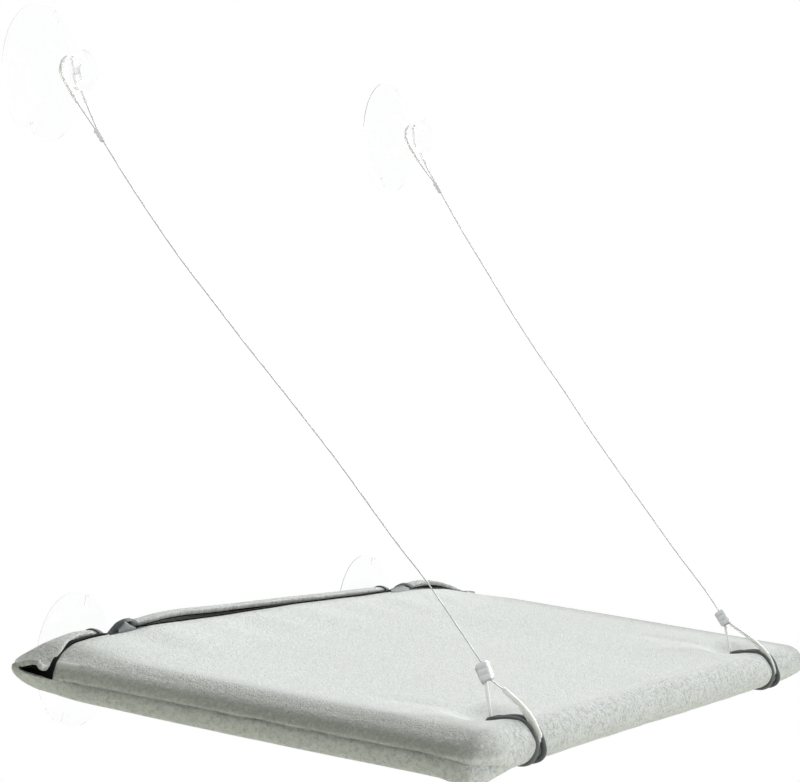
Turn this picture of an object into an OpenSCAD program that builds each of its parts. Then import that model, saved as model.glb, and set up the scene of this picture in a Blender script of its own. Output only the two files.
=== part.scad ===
// Window mounted cat perch: a felt covered tube platform that hangs on two steel cables
// from a pair of suction cups and turns about its rear tube, which two lower cups hold.
// X runs along the window, +Y points at the glass and the glass plane is y = 0, Z is up.
// The origin lies on the glass, midway between the centres of the two lower cups.

/* [Platform] */
// Overall width of the covered platform, along the window
platform_w = 598; // [480:1:740]
// Overall depth of the covered platform, front to rear
platform_d = 307; // [230:1:400]
// Slope of the platform down towards the room, in degrees
tilt = 6.8; // [2:0.1:10]
// Outer diameter of the frame tube
tube_d = 19; // [16:0.5:21]
// Wall of the frame tube
tube_wall = 1.2; // [0.8:0.1:2]
// Thickness of the felt
felt_t = 2.7; // [1.8:0.1:3.2]
// Corner radius of the cover seen from above
corner_r = 25; // [24:1:40]
// Sag of the top panel at its middle
sag = 2.5; // [0:0.5:6]

/* [Rear edge] */
// Greatest rise of the slack rear edge above the flat panel
ridge_h = 6.5; // [4:0.5:9]
// Width of the notch round each tube eye
notch_w = 42; // [34:1:50]
// Distance between the middles of the two notches
notch_spacing = 394; // [380:1:410]
// Sideways shift of both notches
notch_shift = -5; // [-6:0.5:0]
// Depth of the notch in front of the rear tube
notch_depth = 16; // [15:0.5:20]
// Width of the woven binding round a notch or on a flap's end
binding_w = 5; // [3:0.5:7]
// Thickness of one hook or loop strip
strip_t = 1.5; // [1:0.1:2]

/* [Window mounts] */
// Diameter of a suction cup
cup_d = 85; // [70:1:100]
// Distance between the two upper cups
upper_spacing = 475.3; // [420:1:540]
// Sideways shift of the upper cups
upper_shift = 3.15; // [-10:0.5:10]
// Height of the upper cups above the lower ones
upper_height = 364; // [340:1:390]
// Distance between the two lower cups
lower_spacing = 398; // [390:1:406]
// Distance from the glass to the rear tube's axis
standoff = 31; // [30:0.5:40]
// Height of the rear tube's axis above the lower cups' centres
tube_rise = 2; // [0:0.5:3]
// Diameter of a cup's mushroom head
head_d = 25; // [20:0.5:28]
// Diameter of a cup's neck
neck_d = 15; // [12:0.5:15.5]

/* [Cables] */
// Diameter of the steel cable
cable_d = 1.1; // [0.8:0.1:1.4]
// Distance between the two slits in the front edge
slit_spacing = 422; // [360:1:480]
// Clear width of a slit
slit_w = 6.4; // [6:0.2:9]
// Outer diameter of the clear sleeve on the cable's front strand
sleeve_d = 4.6; // [4:0.1:5]
// Length of the flattened ferrule
ferrule_l = 10.5; // [8:0.5:14]
// Width of the flattened ferrule
ferrule_w = 8; // [7:0.5:10]
// Thickness of the flattened ferrule
ferrule_t = 5.5; // [4:0.5:6]

/* [Hidden] */
$fn = 64;

// Overrun of every cut
cut = 1;
// Smallest gap between two pieces that only touch
fine_gap = 0.05;
// Running clearance of the rear tube in a tube eye
run_gap = 0.05;
// Gap between the tube and the felt's inner face
tube_gap = 0.8;
// Height of the felt's edge at the seam
seam_lip = 0.8;

// The felt rolls round each tube at this radius, and its inner face at the next one
roll_r = tube_d / 2 + tube_gap + felt_t;
inner_r = roll_r - felt_t;
half_w = platform_w / 2;
front_y = -(platform_d - 2 * roll_r);
side_x = half_w - roll_r;
bend_r = corner_r - roll_r;
bore_r = tube_d / 2 - tube_wall;
spigot_l = 22;
spigot_gap = 0.05;
elbow_inset = 0.8;

// Rows of the felt's grid: from the outline up the roll, as shares of the roll's radius
roll_shares = [0, 0.076, 0.293, 0.617, 1];
// How far the top panel reaches to the rear of the tube's axis, and its other rear rows
rear_reach = 6;
strip_front = 8;
rear_slack = 5;
ridge_run = 92;
ridge_row_shares = [0.44, 0.67, 1];
middle_row_shares = [0.33, 0.66];
// The ridge's height from the rear edge forward, and along the window, as shares
ridge_fall_shares = [[-1, 1], [0.09, 1], [0.17, 0.9], [0.23, 0.78], [0.44, 0.38], [0.67, 0.1], [1, 0], [9, 0]];
ridge_shares = [[-1, 0], [-0.94, 0], [-0.86, 0.42], [-0.75, 0.32], [-0.65, 0.78], [-0.5, 1],
    [0.07, 0.78], [0.46, 0.51], [0.57, 0.35], [0.71, -0.08], [0.9, -0.08], [1, 0]];
// Height of the felt's rear wall above the tube's axis
wall_h = 10.2;
wall_step = 0.1;
wall_gap = 0.3;
wall_in = 3;
wall_end_share = 0.4;
wall_shares = [0.385, 0.615, 1];

notch_left = -notch_spacing / 2 + notch_shift;
notch_right = notch_spacing / 2 + notch_shift;
notch_keys = [notch_left - notch_w / 2 - binding_w, notch_left - notch_w / 2, notch_left + notch_w / 2,
    notch_left + notch_w / 2 + binding_w, notch_right - notch_w / 2 - binding_w, notch_right - notch_w / 2,
    notch_right + notch_w / 2, notch_right + notch_w / 2 + binding_w];

// Flap: a sheet that turns about a round knuckle on the rear wall's upper edge
flap_t = 2.4;
knuckle_r = 1.35;
knuckle_gap = 0.55;
hinge_y = roll_r - knuckle_r - 0.15 * felt_t;
hinge_z = wall_h + knuckle_r + knuckle_gap;
strip_gap = 0.2;
binding_t = 0.8;
stack_h = fine_gap + strip_t + strip_gap + strip_t + fine_gap;
flap_rise = roll_r + stack_h + flap_t / 2;
flap_end_in = 13;

// Cups: heights above the glass and radii of the turned shape
cup_r = cup_d / 2;
rim_t = 1.2;
seal_w = 4.5;
hollow_h = 1.4;
disc_mid_r = 25;
disc_mid_h = 2.6;
boss_foot_r = 16;
boss_foot_h = 4;
boss_r = 12;
boss_h = 13;
neck_end_h = 24;
head_end_h = 34;
head_round = 2;
tab_w = 5;
tab_l = 6;
tab_t = 1.2;

// Tube eye: a ring round the rear tube on a shank that sits in a lower cup
eye_r = 13.5;
eye_w = 14;
shank_r = 4;
socket_floor = 3;

// Cable ends
crimp_r = 1.6;
crimp_l = 6;
wire_r = cable_d / 2;
loop_turn_r = neck_d / 2 + wire_r + 0.15 * neck_d * 0.4;
slit_x = slit_spacing / 2;
slit_end = 21.5;
slit_binding_w = 3.2;
proud = 0.8;
sleeve_bore_r = wire_r + 0.25;
wrap_r = roll_r - 0.8;
inner_wrap_r = tube_d / 2 + wire_r + 0.35;
strand_gap = 2;
sink = 1;
rear_sleeve_r = 1.25;

// Both ends of each crimp, from its cup's centre
crimp_at_left = [2.1, -42, -42];
crimp_to_left = [1.75, -38.7, -37];
crimp_at_right = [-3, -45.5, -42.5];
crimp_to_right = [-2.7, -42.2, -37.5];
// How far each cable bows towards the window from a straight line, against the share of its length
cable_shares_left = [[0.08, 3], [0.16, 4.9], [0.24, 5.7], [0.32, 4.6], [0.4, 3.5], [0.475, 1.6], [0.55, 0],
    [0.63, -1.3], [0.7, -1.3], [0.78, -1.3], [0.85, -2.6], [0.92, -1.6]];
cable_shares_right = [[0.1, 3.4], [0.2, 5.3], [0.3, 7.2], [0.395, 7.8], [0.49, 6.9], [0.585, 7],
    [0.68, 5.9], [0.77, 4.3], [0.86, 2.8], [0.95, 0]];
// Lower end of each ferrule, from the front tube's axis, and its lean from upright
ferrule_at_left = [23.6, 31];
ferrule_lean_left = 28;
ferrule_at_right = [26.7, 28.7];
ferrule_lean_right = 40;
strand_leave = [7.2, -21.5, -13];

// Helpers: limits, straight line between table entries, and even steps
function clip(v, low, high) = max(low, min(high, v));
function pick(v, t, i = 0) = i >= len(t) - 2 || v <= t[i + 1][0]
    ? t[i][1] + (t[i + 1][1] - t[i][1]) * clip((v - t[i][0]) / (t[i + 1][0] - t[i][0]), 0, 1)
    : pick(v, t, i + 1);
function steps(a, b, n) = [for (k = [1 : n - 1]) a + (b - a) * k / n];
function unit(v) = v / norm(v);

// Distance of a point inside the cover's rounded outline, which may reach further back
function inside(x, y, back) = let (
    hd = (platform_d + back) / 2,
    yc = roll_r + back - hd,
    qx = abs(x) - half_w + corner_r,
    qy = abs(y - yc) - hd + corner_r
) corner_r - norm([max(qx, 0), max(qy, 0)]) - min(max(qx, qy), 0);
function roll(d, r) = d <= 0 ? 0 : d >= r ? r : sqrt(r * r - (r - d) * (r - d));
function recede(x) = let (u = clip(abs(x) - half_w + corner_r, 0, corner_r))
    corner_r - sqrt(corner_r * corner_r - u * u);
function front_line(x) = front_y - roll_r + recede(x);
function rear_line(x) = roll_r - recede(x);

// Rise of the felt above a flat cover
function rise(x) = ridge_h * pick(x / half_w, ridge_shares);
function bump(x, y) = rise(x) * pick(-y / ridge_run, ridge_fall_shares) * clip(inside(x, y, rear_slack) / roll_r, 0, 1)
    - sag * (1 - pow(x / half_w, 2)) * max(0, 1 - pow((y - front_y / 2) / (platform_d / 2), 2));
function top_z(x, y) = max(seam_lip, roll(inside(x, y, rear_slack), roll_r) + bump(x, y));
function top_in_z(x, y) = let (d = inside(x, y, rear_slack) - felt_t)
    d <= 0 ? 0 : max(0, roll(d, inner_r) + bump(x, y));
function low_z(x, y) = -max(seam_lip, roll(inside(x, y, 0), roll_r));
function low_in_z(x, y) = -roll(inside(x, y, 0) - felt_t, inner_r);

// Stations along the window and rows across it
stations = concat(
    [for (s = roll_shares) -half_w + s * roll_r], [-half_w + corner_r],
    steps(-half_w + corner_r, notch_keys[0], 2), [for (k = [0 : 3]) notch_keys[k]],
    steps(notch_keys[3], notch_keys[4], 7), [for (k = [4 : 7]) notch_keys[k]],
    steps(notch_keys[7], half_w - corner_r, 3), [half_w - corner_r],
    [for (k = [0 : 4]) half_w - roll_shares[4 - k] * roll_r]);
function between(x0, x1) = concat([x0], [for (x = stations) if (x > x0 && x < x1) x], [x1]);
rear_rows = concat([for (k = [0 : 2]) -ridge_run * ridge_row_shares[2 - k]],
    [-notch_depth - binding_w, -notch_depth, -strip_front, 0, rear_reach]);
function top_rows(x) = let (
    f = front_line(x),
    back = min(0, rear_line(x) - felt_t - wall_gap - rear_reach),
    a = f + corner_r,
    b = rear_rows[0] + back
) concat([for (s = roll_shares) f + s * roll_r], [a], [for (s = middle_row_shares) a + (b - a) * s],
    [for (y = rear_rows) y + back]);
function low_rows(x) = let (
    f = front_line(x),
    r = rear_line(x),
    a = f + corner_r,
    b = r - corner_r
) concat([for (s = roll_shares) f + s * roll_r], [a], [for (s = middle_row_shares) a + (b - a) * s], [b],
    [for (k = [0 : 2]) r - roll_r * wall_shares[2 - k]], [r - felt_t - wall_step, r - felt_t, r]);
function wall(x) = wall_h * clip((half_w - abs(x) - wall_in) / (corner_r * wall_end_share), 0, 1);

// A closed sheet between a grid of upper points and the lower points under them
module sheet(tops, lows) {
    n = len(tops);
    m = len(tops[0]);
    o = n * m;
    quads = [for (i = [0 : n - 2]) for (j = [0 : m - 2]) let (a = i * m + j, b = a + m)
        each [[a, a + 1, b + 1], [a, b + 1, b], [o + a, o + b + 1, o + a + 1], [o + a, o + b, o + b + 1]]];
    fronts = [for (i = [0 : n - 2]) let (a = i * m, b = a + m, c = a + m - 1, d = b + m - 1)
        each [[a, b, o + b], [a, o + b, o + a], [c, o + c, o + d], [c, o + d, d]]];
    ends = [for (j = [0 : m - 2]) let (a = j, b = (n - 1) * m + j)
        each [[a + 1, a, o + a], [a + 1, o + a, o + a + 1], [b + 1, o + b, b], [b + 1, o + b + 1, o + b]]];
    polyhedron([for (r = tops) each r, for (r = lows) each r], concat(quads, fronts, ends), convexity = 8);
}

// A solid through loops that follow each other, each loop turning left round the way ahead.
// An outline that isn't convex gives its own end faces.
module skin(loops, end_faces = []) {
    n = len(loops);
    m = len(loops[0]);
    sides = [for (k = [0 : n - 2]) for (j = [0 : m - 1])
        let (a = k * m + j, b = a + m, c = k * m + (j + 1) % m, d = c + m) each [[a, b, d], [a, d, c]]];
    near = len(end_faces) > 0 ? end_faces : [[for (j = [0 : m - 1]) j]];
    far = [for (f = near) [for (j = [len(f) - 1 : -1 : 0]) (n - 1) * m + f[j]]];
    polyhedron([for (l = loops) each l], concat(sides, near, far), convexity = 6);
}

// The same with a bore: the inner loops follow the outer ones
module hollow_skin(outer, inner) {
    n = len(outer);
    m = len(outer[0]);
    o = n * m;
    sides = [for (k = [0 : n - 2]) for (j = [0 : m - 1])
        let (a = k * m + j, b = a + m, c = k * m + (j + 1) % m, d = c + m)
        each [[a, b, d], [a, d, c], [o + a, o + d, o + b], [o + a, o + c, o + d]]];
    rims = [for (j = [0 : m - 1]) let (c = (j + 1) % m, e = (n - 1) * m)
        each [[j, c, o + c], [j, o + c, o + j], [e + j, o + e + c, e + c], [e + j, o + e + j, o + e + c]]];
    polyhedron([for (l = outer) each l, for (l = inner) each l], concat(sides, rims), convexity = 8);
}

// Rings of a cord along its points, square to the way ahead
function heading(p, i) = unit(p[min(i + 1, len(p) - 1)] - p[max(i - 1, 0)]);
function rings(p, r, side, n = 8) = [for (i = [0 : len(p) - 1]) let (
    t = heading(p, i),
    u = unit(cross(side, t)),
    v = cross(t, u)
) [for (k = [0 : n - 1]) p[i] + r * (cos(360 * k / n) * u + sin(360 * k / n) * v)]];
module cord(p, side) {
    skin(rings(p, wire_r, side));
}

// Where a point of the platform lies when the platform is down
function placed(p) = [p[0], -standoff + p[1] * cos(tilt) - p[2] * sin(tilt),
    tube_rise + p[1] * sin(tilt) + p[2] * cos(tilt)];
module on_platform() {
    translate([0, -standoff, tube_rise]) rotate([tilt, 0, 0]) children();
}
// A straight round rod between two points
module rod(a, b, r) {
    d = b - a;
    translate(a) rotate([0, acos(d[2] / norm(d)), atan2(d[1], d[0])]) cylinder(r = r, h = norm(d));
}

// Cups
module cup_shape(mushroom) {
    stem = mushroom
        ? [[boss_r, boss_h], [neck_d / 2, boss_h + 1], [neck_d / 2, neck_end_h], [head_d / 2 - head_round, neck_end_h],
            [head_d / 2, neck_end_h + head_round], [head_d / 2, head_end_h - head_round],
            [head_d / 2 - head_round, head_end_h], [0, head_end_h]]
        : [[boss_r, boss_h], [0, boss_h]];
    rotate([90, 0, 0]) {
        rotate_extrude($fn = 96) polygon(concat(
            [[0, hollow_h], [disc_mid_r, hollow_h * 0.8], [cup_r - seal_w, 0], [cup_r, 0], [cup_r, rim_t],
                [disc_mid_r, disc_mid_h], [boss_foot_r, boss_foot_h]], stem));
        for (a = [90, 270]) rotate([0, 0, a + 20])
            translate([cup_r - tab_l, -tab_w / 2, rim_t / 2]) cube([tab_l, tab_w, tab_t]);
    }
}
module cup_upper(x) {
    color([0.93, 0.95, 0.96, 0.45]) translate([x, 0, upper_height]) cup_shape(true);
}
module cup_lower(x) {
    color([0.93, 0.95, 0.96, 0.45]) translate([x, 0, 0]) difference() {
        cup_shape(false);
        rotate([90, 0, 0]) translate([0, 0, socket_floor]) cylinder(r = shank_r, h = boss_h);
    }
}
module cup_upper_left() { cup_upper(-upper_spacing / 2 + upper_shift); }
module cup_upper_right() { cup_upper(upper_spacing / 2 + upper_shift); }
module cup_lower_left() { cup_lower(-lower_spacing / 2); }
module cup_lower_right() { cup_lower(lower_spacing / 2); }

// Tube eyes
module tube_eye(x) {
    color([0.85, 0.88, 0.9, 0.5]) difference() {
        union() {
            translate([x - eye_w / 2, -standoff, tube_rise]) rotate([0, 90, 0]) cylinder(r = eye_r, h = eye_w);
            translate([x, -socket_floor, 0]) rotate([90, 0, 0])
                cylinder(r = shank_r, h = standoff - socket_floor - tube_d / 2);
        }
        translate([x - eye_w / 2 - cut, -standoff, tube_rise]) rotate([0, 90, 0])
            cylinder(r = tube_d / 2 + run_gap, h = eye_w + 2 * cut);
    }
}
module tube_eye_left() { tube_eye(-lower_spacing / 2); }
module tube_eye_right() { tube_eye(lower_spacing / 2); }

// Upper cable loops over the necks, their crimps, and the cables
upper_left = [-upper_spacing / 2 + upper_shift, 0, upper_height];
upper_right = [upper_spacing / 2 + upper_shift, 0, upper_height];
function upper_loop_points(c, at, to) = let (
    end = c + to - sink * unit(to - at),
    s = strand_leave,
    g = [wire_r * 1.5, 0, 0],
    m = [c[0], -(boss_h + 1 + neck_end_h) / 2, c[2]]
) concat([end + g, c + s], [for (a = [-10 : 40 : 190]) m + loop_turn_r * [cos(a), 0, sin(a)]],
    [c + [-s[0], s[1], s[2]], end - g]);
module upper_loop_left() {
    color("silver") cord(upper_loop_points(upper_left, crimp_at_left, crimp_to_left), [0, 1, 0]);
}
module upper_loop_right() {
    color("silver") cord(upper_loop_points(upper_right, crimp_at_right, crimp_to_right), [0, 1, 0]);
}
module upper_crimp_left() {
    color("gainsboro") rod(upper_left + crimp_at_left, upper_left + crimp_to_left, crimp_r);
}
module upper_crimp_right() {
    color("gainsboro") rod(upper_right + crimp_at_right, upper_right + crimp_to_right, crimp_r);
}

// A ferrule's upper end, from its lower end and its lean
function ferrule_top(at, lean) = at + ferrule_l * [sin(lean), cos(lean)];
function from_front(x, p) = [x, front_y + p[0], p[1]];
module cable(bows, at, to, x, end, lean) {
    top = placed(from_front(x, ferrule_top(end, lean)));
    way = top - at;
    points = [for (b = bows) at + way * b[0] + [0, b[1], 0]];
    start = at + sink * unit(to - at);
    color("silver") cord(concat([start, at], points, [top - fine_gap * unit(way)]), [1, 0, 0]);
}
module cable_left() {
    cable(cable_shares_left, upper_left + crimp_at_left, upper_left + crimp_to_left,
        -slit_x, ferrule_at_left, ferrule_lean_left);
}
module cable_right() {
    cable(cable_shares_right, upper_right + crimp_at_right, upper_right + crimp_to_right,
        slit_x, ferrule_at_right, ferrule_lean_right);
}

// Lower loops: round the front tube and back up to the ferrule
function side_of(lean) = [cos(lean), -sin(lean)];
function front_start(at, lean) = at - strand_gap * side_of(lean);
function rear_start(at, lean) = at + strand_gap * side_of(lean);
function touch_angle(p) = atan2(p[1], p[0]) + acos(wrap_r / norm(p));
function wrap_point(a) = (a < 262 ? wrap_r : a > 284 ? inner_wrap_r
    : wrap_r + (inner_wrap_r - wrap_r) * (a - 262) / 22) * [cos(a), sin(a)];
function loop_flat(at, lean) = let (
    f = front_start(at, lean),
    t = touch_angle(f),
    u = [sin(lean), cos(lean)]
) concat([f + sink * u, f, (f + wrap_point(t)) / 2], [for (k = [0 : 6]) wrap_point(t + (262 - t) * k / 6)],
    [wrap_point(284), wrap_point(312), wrap_point(338)], [rear_start(at, lean), rear_start(at, lean) + sink * u]);
function loop_points(x, at, lean) = [for (p = loop_flat(at, lean)) from_front(x, p)];
module lower_loop(x, at, lean) {
    color("silver") on_platform() cord(loop_points(x, at, lean), [1, 0, 0]);
}
module lower_loop_left() { lower_loop(-slit_x, ferrule_at_left, ferrule_lean_left); }
module lower_loop_right() { lower_loop(slit_x, ferrule_at_right, ferrule_lean_right); }

// Clear sleeves on the strands
module front_sleeve(x, at, lean) {
    p = loop_points(x, at, lean);
    first = p[1] + (p[2] - p[1]) * 0.5;
    q = concat([first], [for (k = [2 : 9]) p[k]]);
    color([0.95, 0.96, 0.97, 0.7]) on_platform()
        hollow_skin(rings(q, sleeve_d / 2, [1, 0, 0]), rings(q, sleeve_bore_r, [1, 0, 0]));
}
module front_sleeve_left() { front_sleeve(-slit_x, ferrule_at_left, ferrule_lean_left); }
module front_sleeve_right() { front_sleeve(slit_x, ferrule_at_right, ferrule_lean_right); }
module rear_sleeve(x, at, lean) {
    p = loop_points(x, at, lean);
    a = p[len(p) - 2];
    b = p[len(p) - 3];
    color([0.95, 0.96, 0.97, 0.7]) on_platform() difference() {
        rod(a + (b - a) * 0.06, a + (b - a) * 0.42, rear_sleeve_r);
        rod(a, a + (b - a) * 0.5, sleeve_bore_r);
    }
}
module rear_sleeve_left() { rear_sleeve(-slit_x, ferrule_at_left, ferrule_lean_left); }
module rear_sleeve_right() { rear_sleeve(slit_x, ferrule_at_right, ferrule_lean_right); }

// Flattened ferrules
module ferrule(x, at, lean) {
    half = (ferrule_w - ferrule_t) / 2;
    color("gainsboro") on_platform() translate(from_front(x, at)) rotate([-lean, 0, 0])
        linear_extrude(ferrule_l) union() {
            translate([0, half]) circle(d = ferrule_t);
            translate([0, -half]) circle(d = ferrule_t);
            translate([-ferrule_t / 2, -half]) square([ferrule_t, 2 * half]);
        }
}
module ferrule_left() { ferrule(-slit_x, ferrule_at_left, ferrule_lean_left); }
module ferrule_right() { ferrule(slit_x, ferrule_at_right, ferrule_lean_right); }

// Frame tubes and the elbows that join them
module tube_along_x(y) {
    l = 2 * (side_x - bend_r);
    color("silver") on_platform() translate([-l / 2, y, 0]) rotate([0, 90, 0]) difference() {
        cylinder(d = tube_d, h = l);
        translate([0, 0, -cut]) cylinder(r = bore_r, h = l + 2 * cut);
    }
}
module side_tube(x) {
    l = -front_y - 2 * bend_r;
    color("silver") on_platform() translate([x, -bend_r, 0]) rotate([90, 0, 0]) difference() {
        cylinder(d = tube_d, h = l);
        translate([0, 0, -cut]) cylinder(r = bore_r, h = l + 2 * cut);
    }
}
module rear_tube() { tube_along_x(0); }
module front_tube() { tube_along_x(front_y); }
module side_tube_left() { side_tube(-side_x); }
module side_tube_right() { side_tube(side_x); }
module elbow(sx, sy) {
    corner = [sx * (side_x - bend_r), sy > 0 ? -bend_r : front_y + bend_r, 0];
    color("dimgray") on_platform() translate(corner) mirror([sx < 0 ? 1 : 0, 0, 0]) mirror([0, sy < 0 ? 1 : 0, 0]) {
        rotate_extrude(angle = 90) translate([bend_r, 0]) circle(d = tube_d - 2 * elbow_inset);
        translate([0, bend_r, 0]) rotate([0, -90, 0]) cylinder(r = bore_r - spigot_gap, h = spigot_l);
        translate([bend_r, 0, 0]) rotate([90, 0, 0]) cylinder(r = bore_r - spigot_gap, h = spigot_l);
    }
}
module elbow_rear_left() { elbow(-1, 1); }
module elbow_rear_right() { elbow(1, 1); }
module elbow_front_left() { elbow(-1, -1); }
module elbow_front_right() { elbow(1, -1); }

// Cover halves, which meet at the seam in the tubes' plane
slit_half = slit_w / 2 + slit_binding_w + fine_gap;
module notches() {
    for (x = [notch_left, notch_right]) translate([x - notch_w / 2, -notch_depth, -2 * roll_r])
        cube([notch_w, notch_depth + 2 * roll_r, 5 * roll_r]);
}
module cover_top() {
    color([0.82, 0.83, 0.82]) on_platform() difference() {
        sheet([for (x = stations) [for (y = top_rows(x)) [x, y, top_z(x, y)]]],
            [for (x = stations) [for (y = top_rows(x)) [x, y, top_in_z(x, y)]]]);
        notches();
        for (x = [-slit_x, slit_x]) translate([x - slit_half, front_y - roll_r - cut, -cut])
            cube([2 * slit_half, roll_r + slit_end + slit_binding_w + cut + fine_gap, 2 * roll_r]);
    }
}
module cover_bottom() {
    color([0.78, 0.79, 0.78]) on_platform() difference() {
        sheet([for (x = stations) let (r = low_rows(x), m = len(r)) [for (j = [0 : m - 1])
                [x, r[j], j >= m - 2 ? wall(x) : low_in_z(x, r[j])]]],
            [for (x = stations) [for (y = low_rows(x)) [x, y, low_z(x, y)]]]);
        notches();
        for (x = [-slit_x, slit_x]) {
            translate([x - slit_half, front_y - roll_r - cut, -2 * roll_r])
                cube([2 * slit_half, roll_r + cut, 2 * roll_r + cut]);
            translate([x - sleeve_bore_r * 2, front_y - cut, -2 * roll_r])
                cube([sleeve_bore_r * 4, inner_r / 2 + cut, 2 * roll_r]);
        }
    }
}

// Woven bindings of the slits
module slit_binding(x) {
    r0 = tube_d / 2 + tube_gap / 2;
    r1 = roll_r + proud;
    w = 2 * (slit_w / 2 + slit_binding_w);
    color([0.34, 0.37, 0.4]) on_platform() difference() {
        translate([x - w / 2, front_y, 0]) rotate([90, 0, 90]) linear_extrude(w) difference() {
            union() {
                circle(r = r1);
                translate([0, r0]) square([slit_end + slit_binding_w, r1 - r0]);
            }
            circle(r = r0);
            translate([0, -2 * r1]) square([2 * r1, 2 * r1 + r0]);
        }
        translate([x - slit_w / 2, front_y - r1 - cut, -r1 - cut])
            cube([slit_w, r1 + cut + slit_end, 2 * r1 + 2 * cut]);
    }
}
module slit_binding_left() { slit_binding(-slit_x); }
module slit_binding_right() { slit_binding(slit_x); }

// A thin layer that lies on the top panel between two stations and two or more rows
module layer(x0, x1, rows, lift, t) {
    on_platform() sheet(
        [for (x = between(x0, x1)) [for (y = rows) [x, y, top_z(x, y) + lift + t]]],
        [for (x = between(x0, x1)) [for (y = rows) [x, y, top_z(x, y) + lift]]]);
}
module notch_binding(x) {
    color([0.34, 0.37, 0.4]) layer(x - notch_w / 2 - binding_w, x + notch_w / 2 + binding_w,
        [-notch_depth - binding_w, -notch_depth], fine_gap, binding_t);
}
module notch_binding_left() { notch_binding(notch_left); }
module notch_binding_right() { notch_binding(notch_right); }

// Ends of the three flaps
flap_ends = [[-half_w + flap_end_in, notch_keys[1]], [notch_keys[2], notch_keys[5]],
    [notch_keys[6], half_w - flap_end_in - 0.35 * corner_r]];
module loop_strip(k) {
    color([0.1, 0.1, 0.1]) layer(flap_ends[k][0], flap_ends[k][1], [-strip_front, 0, rear_reach], fine_gap, strip_t);
}
module loop_strip_left() { loop_strip(0); }
module loop_strip_middle() { loop_strip(1); }
module loop_strip_right() { loop_strip(2); }
module hook_strip(k) {
    g = binding_w + fine_gap;
    x0 = flap_ends[k][0] + (k > 0 ? g : 0);
    x1 = flap_ends[k][1] - (k < 2 ? g : 0);
    color([0.1, 0.1, 0.1]) layer(x0, x1, [0, rear_reach], fine_gap + strip_t + strip_gap, strip_t);
}
module hook_strip_left() { hook_strip(0); }
module hook_strip_middle() { hook_strip(1); }
module hook_strip_right() { hook_strip(2); }

// A flap's outline across its length: the knuckle, the outer face, the front edge, the inner face
function top_line(x, y) = top_z(x, y) + stack_h + flap_t / 2;
flap_back_shares = [[0.02, 0.42], [0.3, 0.8], [0.62, 0.985]];
function flap_mid(x) = let (w = hinge_y - rear_reach, h = top_line(x, rear_reach) - hinge_z)
    concat([for (s = flap_back_shares) [hinge_y - w * s[0], hinge_z + h * s[1]]],
    [[rear_reach, hinge_z + h], [0, top_line(x, 0)]]);
function flap_normal(p, k) = let (t = unit(p[min(k + 1, len(p) - 1)] - p[max(k - 1, 0)])) [t[1], -t[0]];
function flap_loop(x, t) = let (
    p = flap_mid(x),
    n = len(p)
) concat([for (a = [150 : 60 : 390]) [x, hinge_y + knuckle_r * cos(a), hinge_z + knuckle_r * sin(a)]],
    [for (k = [0 : n - 1]) let (q = p[k] + flap_normal(p, k) * t / 2) [x, q[0], q[1]]],
    [for (k = [0 : n - 1]) let (i = n - 1 - k, q = p[i] - flap_normal(p, i) * t / 2) [x, q[0], q[1]]]);
// End faces of that outline: the knuckle's end, then the sheet in strips
knuckle_points = 5;
mid_points = 5;
flap_faces = concat([concat([for (j = [0 : knuckle_points]) j], [knuckle_points + 2 * mid_points - 1])],
    [for (k = [0 : mid_points - 2]) let (a = knuckle_points + k, b = knuckle_points + 2 * mid_points - 1 - k)
        each [[a, a + 1, b], [a + 1, b - 1, b]]]);
module flap(k) {
    g = binding_w;
    x0 = flap_ends[k][0] + (k > 0 ? g : 0);
    x1 = flap_ends[k][1] - (k < 2 ? g : 0);
    color([0.82, 0.83, 0.82]) on_platform() skin([for (x = between(x0, x1)) flap_loop(x, flap_t)], flap_faces);
}
module flap_left() { flap(0); }
module flap_middle() { flap(1); }
module flap_right() { flap(2); }
module end_binding(x0, x1) {
    on_platform() skin([for (x = [x0, x1]) flap_loop(x, flap_t)], flap_faces);
}
module flap_binding_left() {
    color([0.34, 0.37, 0.4]) end_binding(flap_ends[0][1] - binding_w, flap_ends[0][1]);
}
module flap_binding_middle() {
    color([0.34, 0.37, 0.4]) {
        end_binding(flap_ends[1][0], flap_ends[1][0] + binding_w);
        end_binding(flap_ends[1][1] - binding_w, flap_ends[1][1]);
    }
}
module flap_binding_right() {
    color([0.34, 0.37, 0.4]) end_binding(flap_ends[2][0], flap_ends[2][0] + binding_w);
}

cup_upper_left();
cup_upper_right();
cup_lower_left();
cup_lower_right();
tube_eye_left();
tube_eye_right();
upper_loop_left();
upper_loop_right();
upper_crimp_left();
upper_crimp_right();
cable_left();
cable_right();
rear_tube();
front_tube();
side_tube_left();
side_tube_right();
elbow_rear_left();
elbow_rear_right();
elbow_front_left();
elbow_front_right();
cover_top();
cover_bottom();
loop_strip_left();
loop_strip_middle();
loop_strip_right();
slit_binding_left();
slit_binding_right();
notch_binding_left();
notch_binding_right();
ferrule_left();
ferrule_right();
lower_loop_left();
lower_loop_right();
front_sleeve_left();
front_sleeve_right();
rear_sleeve_left();
rear_sleeve_right();
flap_left();
flap_middle();
flap_right();
hook_strip_left();
hook_strip_middle();
hook_strip_right();
flap_binding_left();
flap_binding_middle();
flap_binding_right();
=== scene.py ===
# %% [markdown]
# # A window mounted cat perch
# The perch is a tube frame in a grey felt cover. Two steel cables carry its front edge from two
# suction cups, and its rear tube turns in two lower cups, so it can be folded up to the glass.
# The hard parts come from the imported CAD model. The lesson makes the cloth, the trims, the cables
# and all the finishes, in the same frame: X along the window, +Y at the glass, Z up.

# %% Load the frame and keep its box
import math

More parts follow.
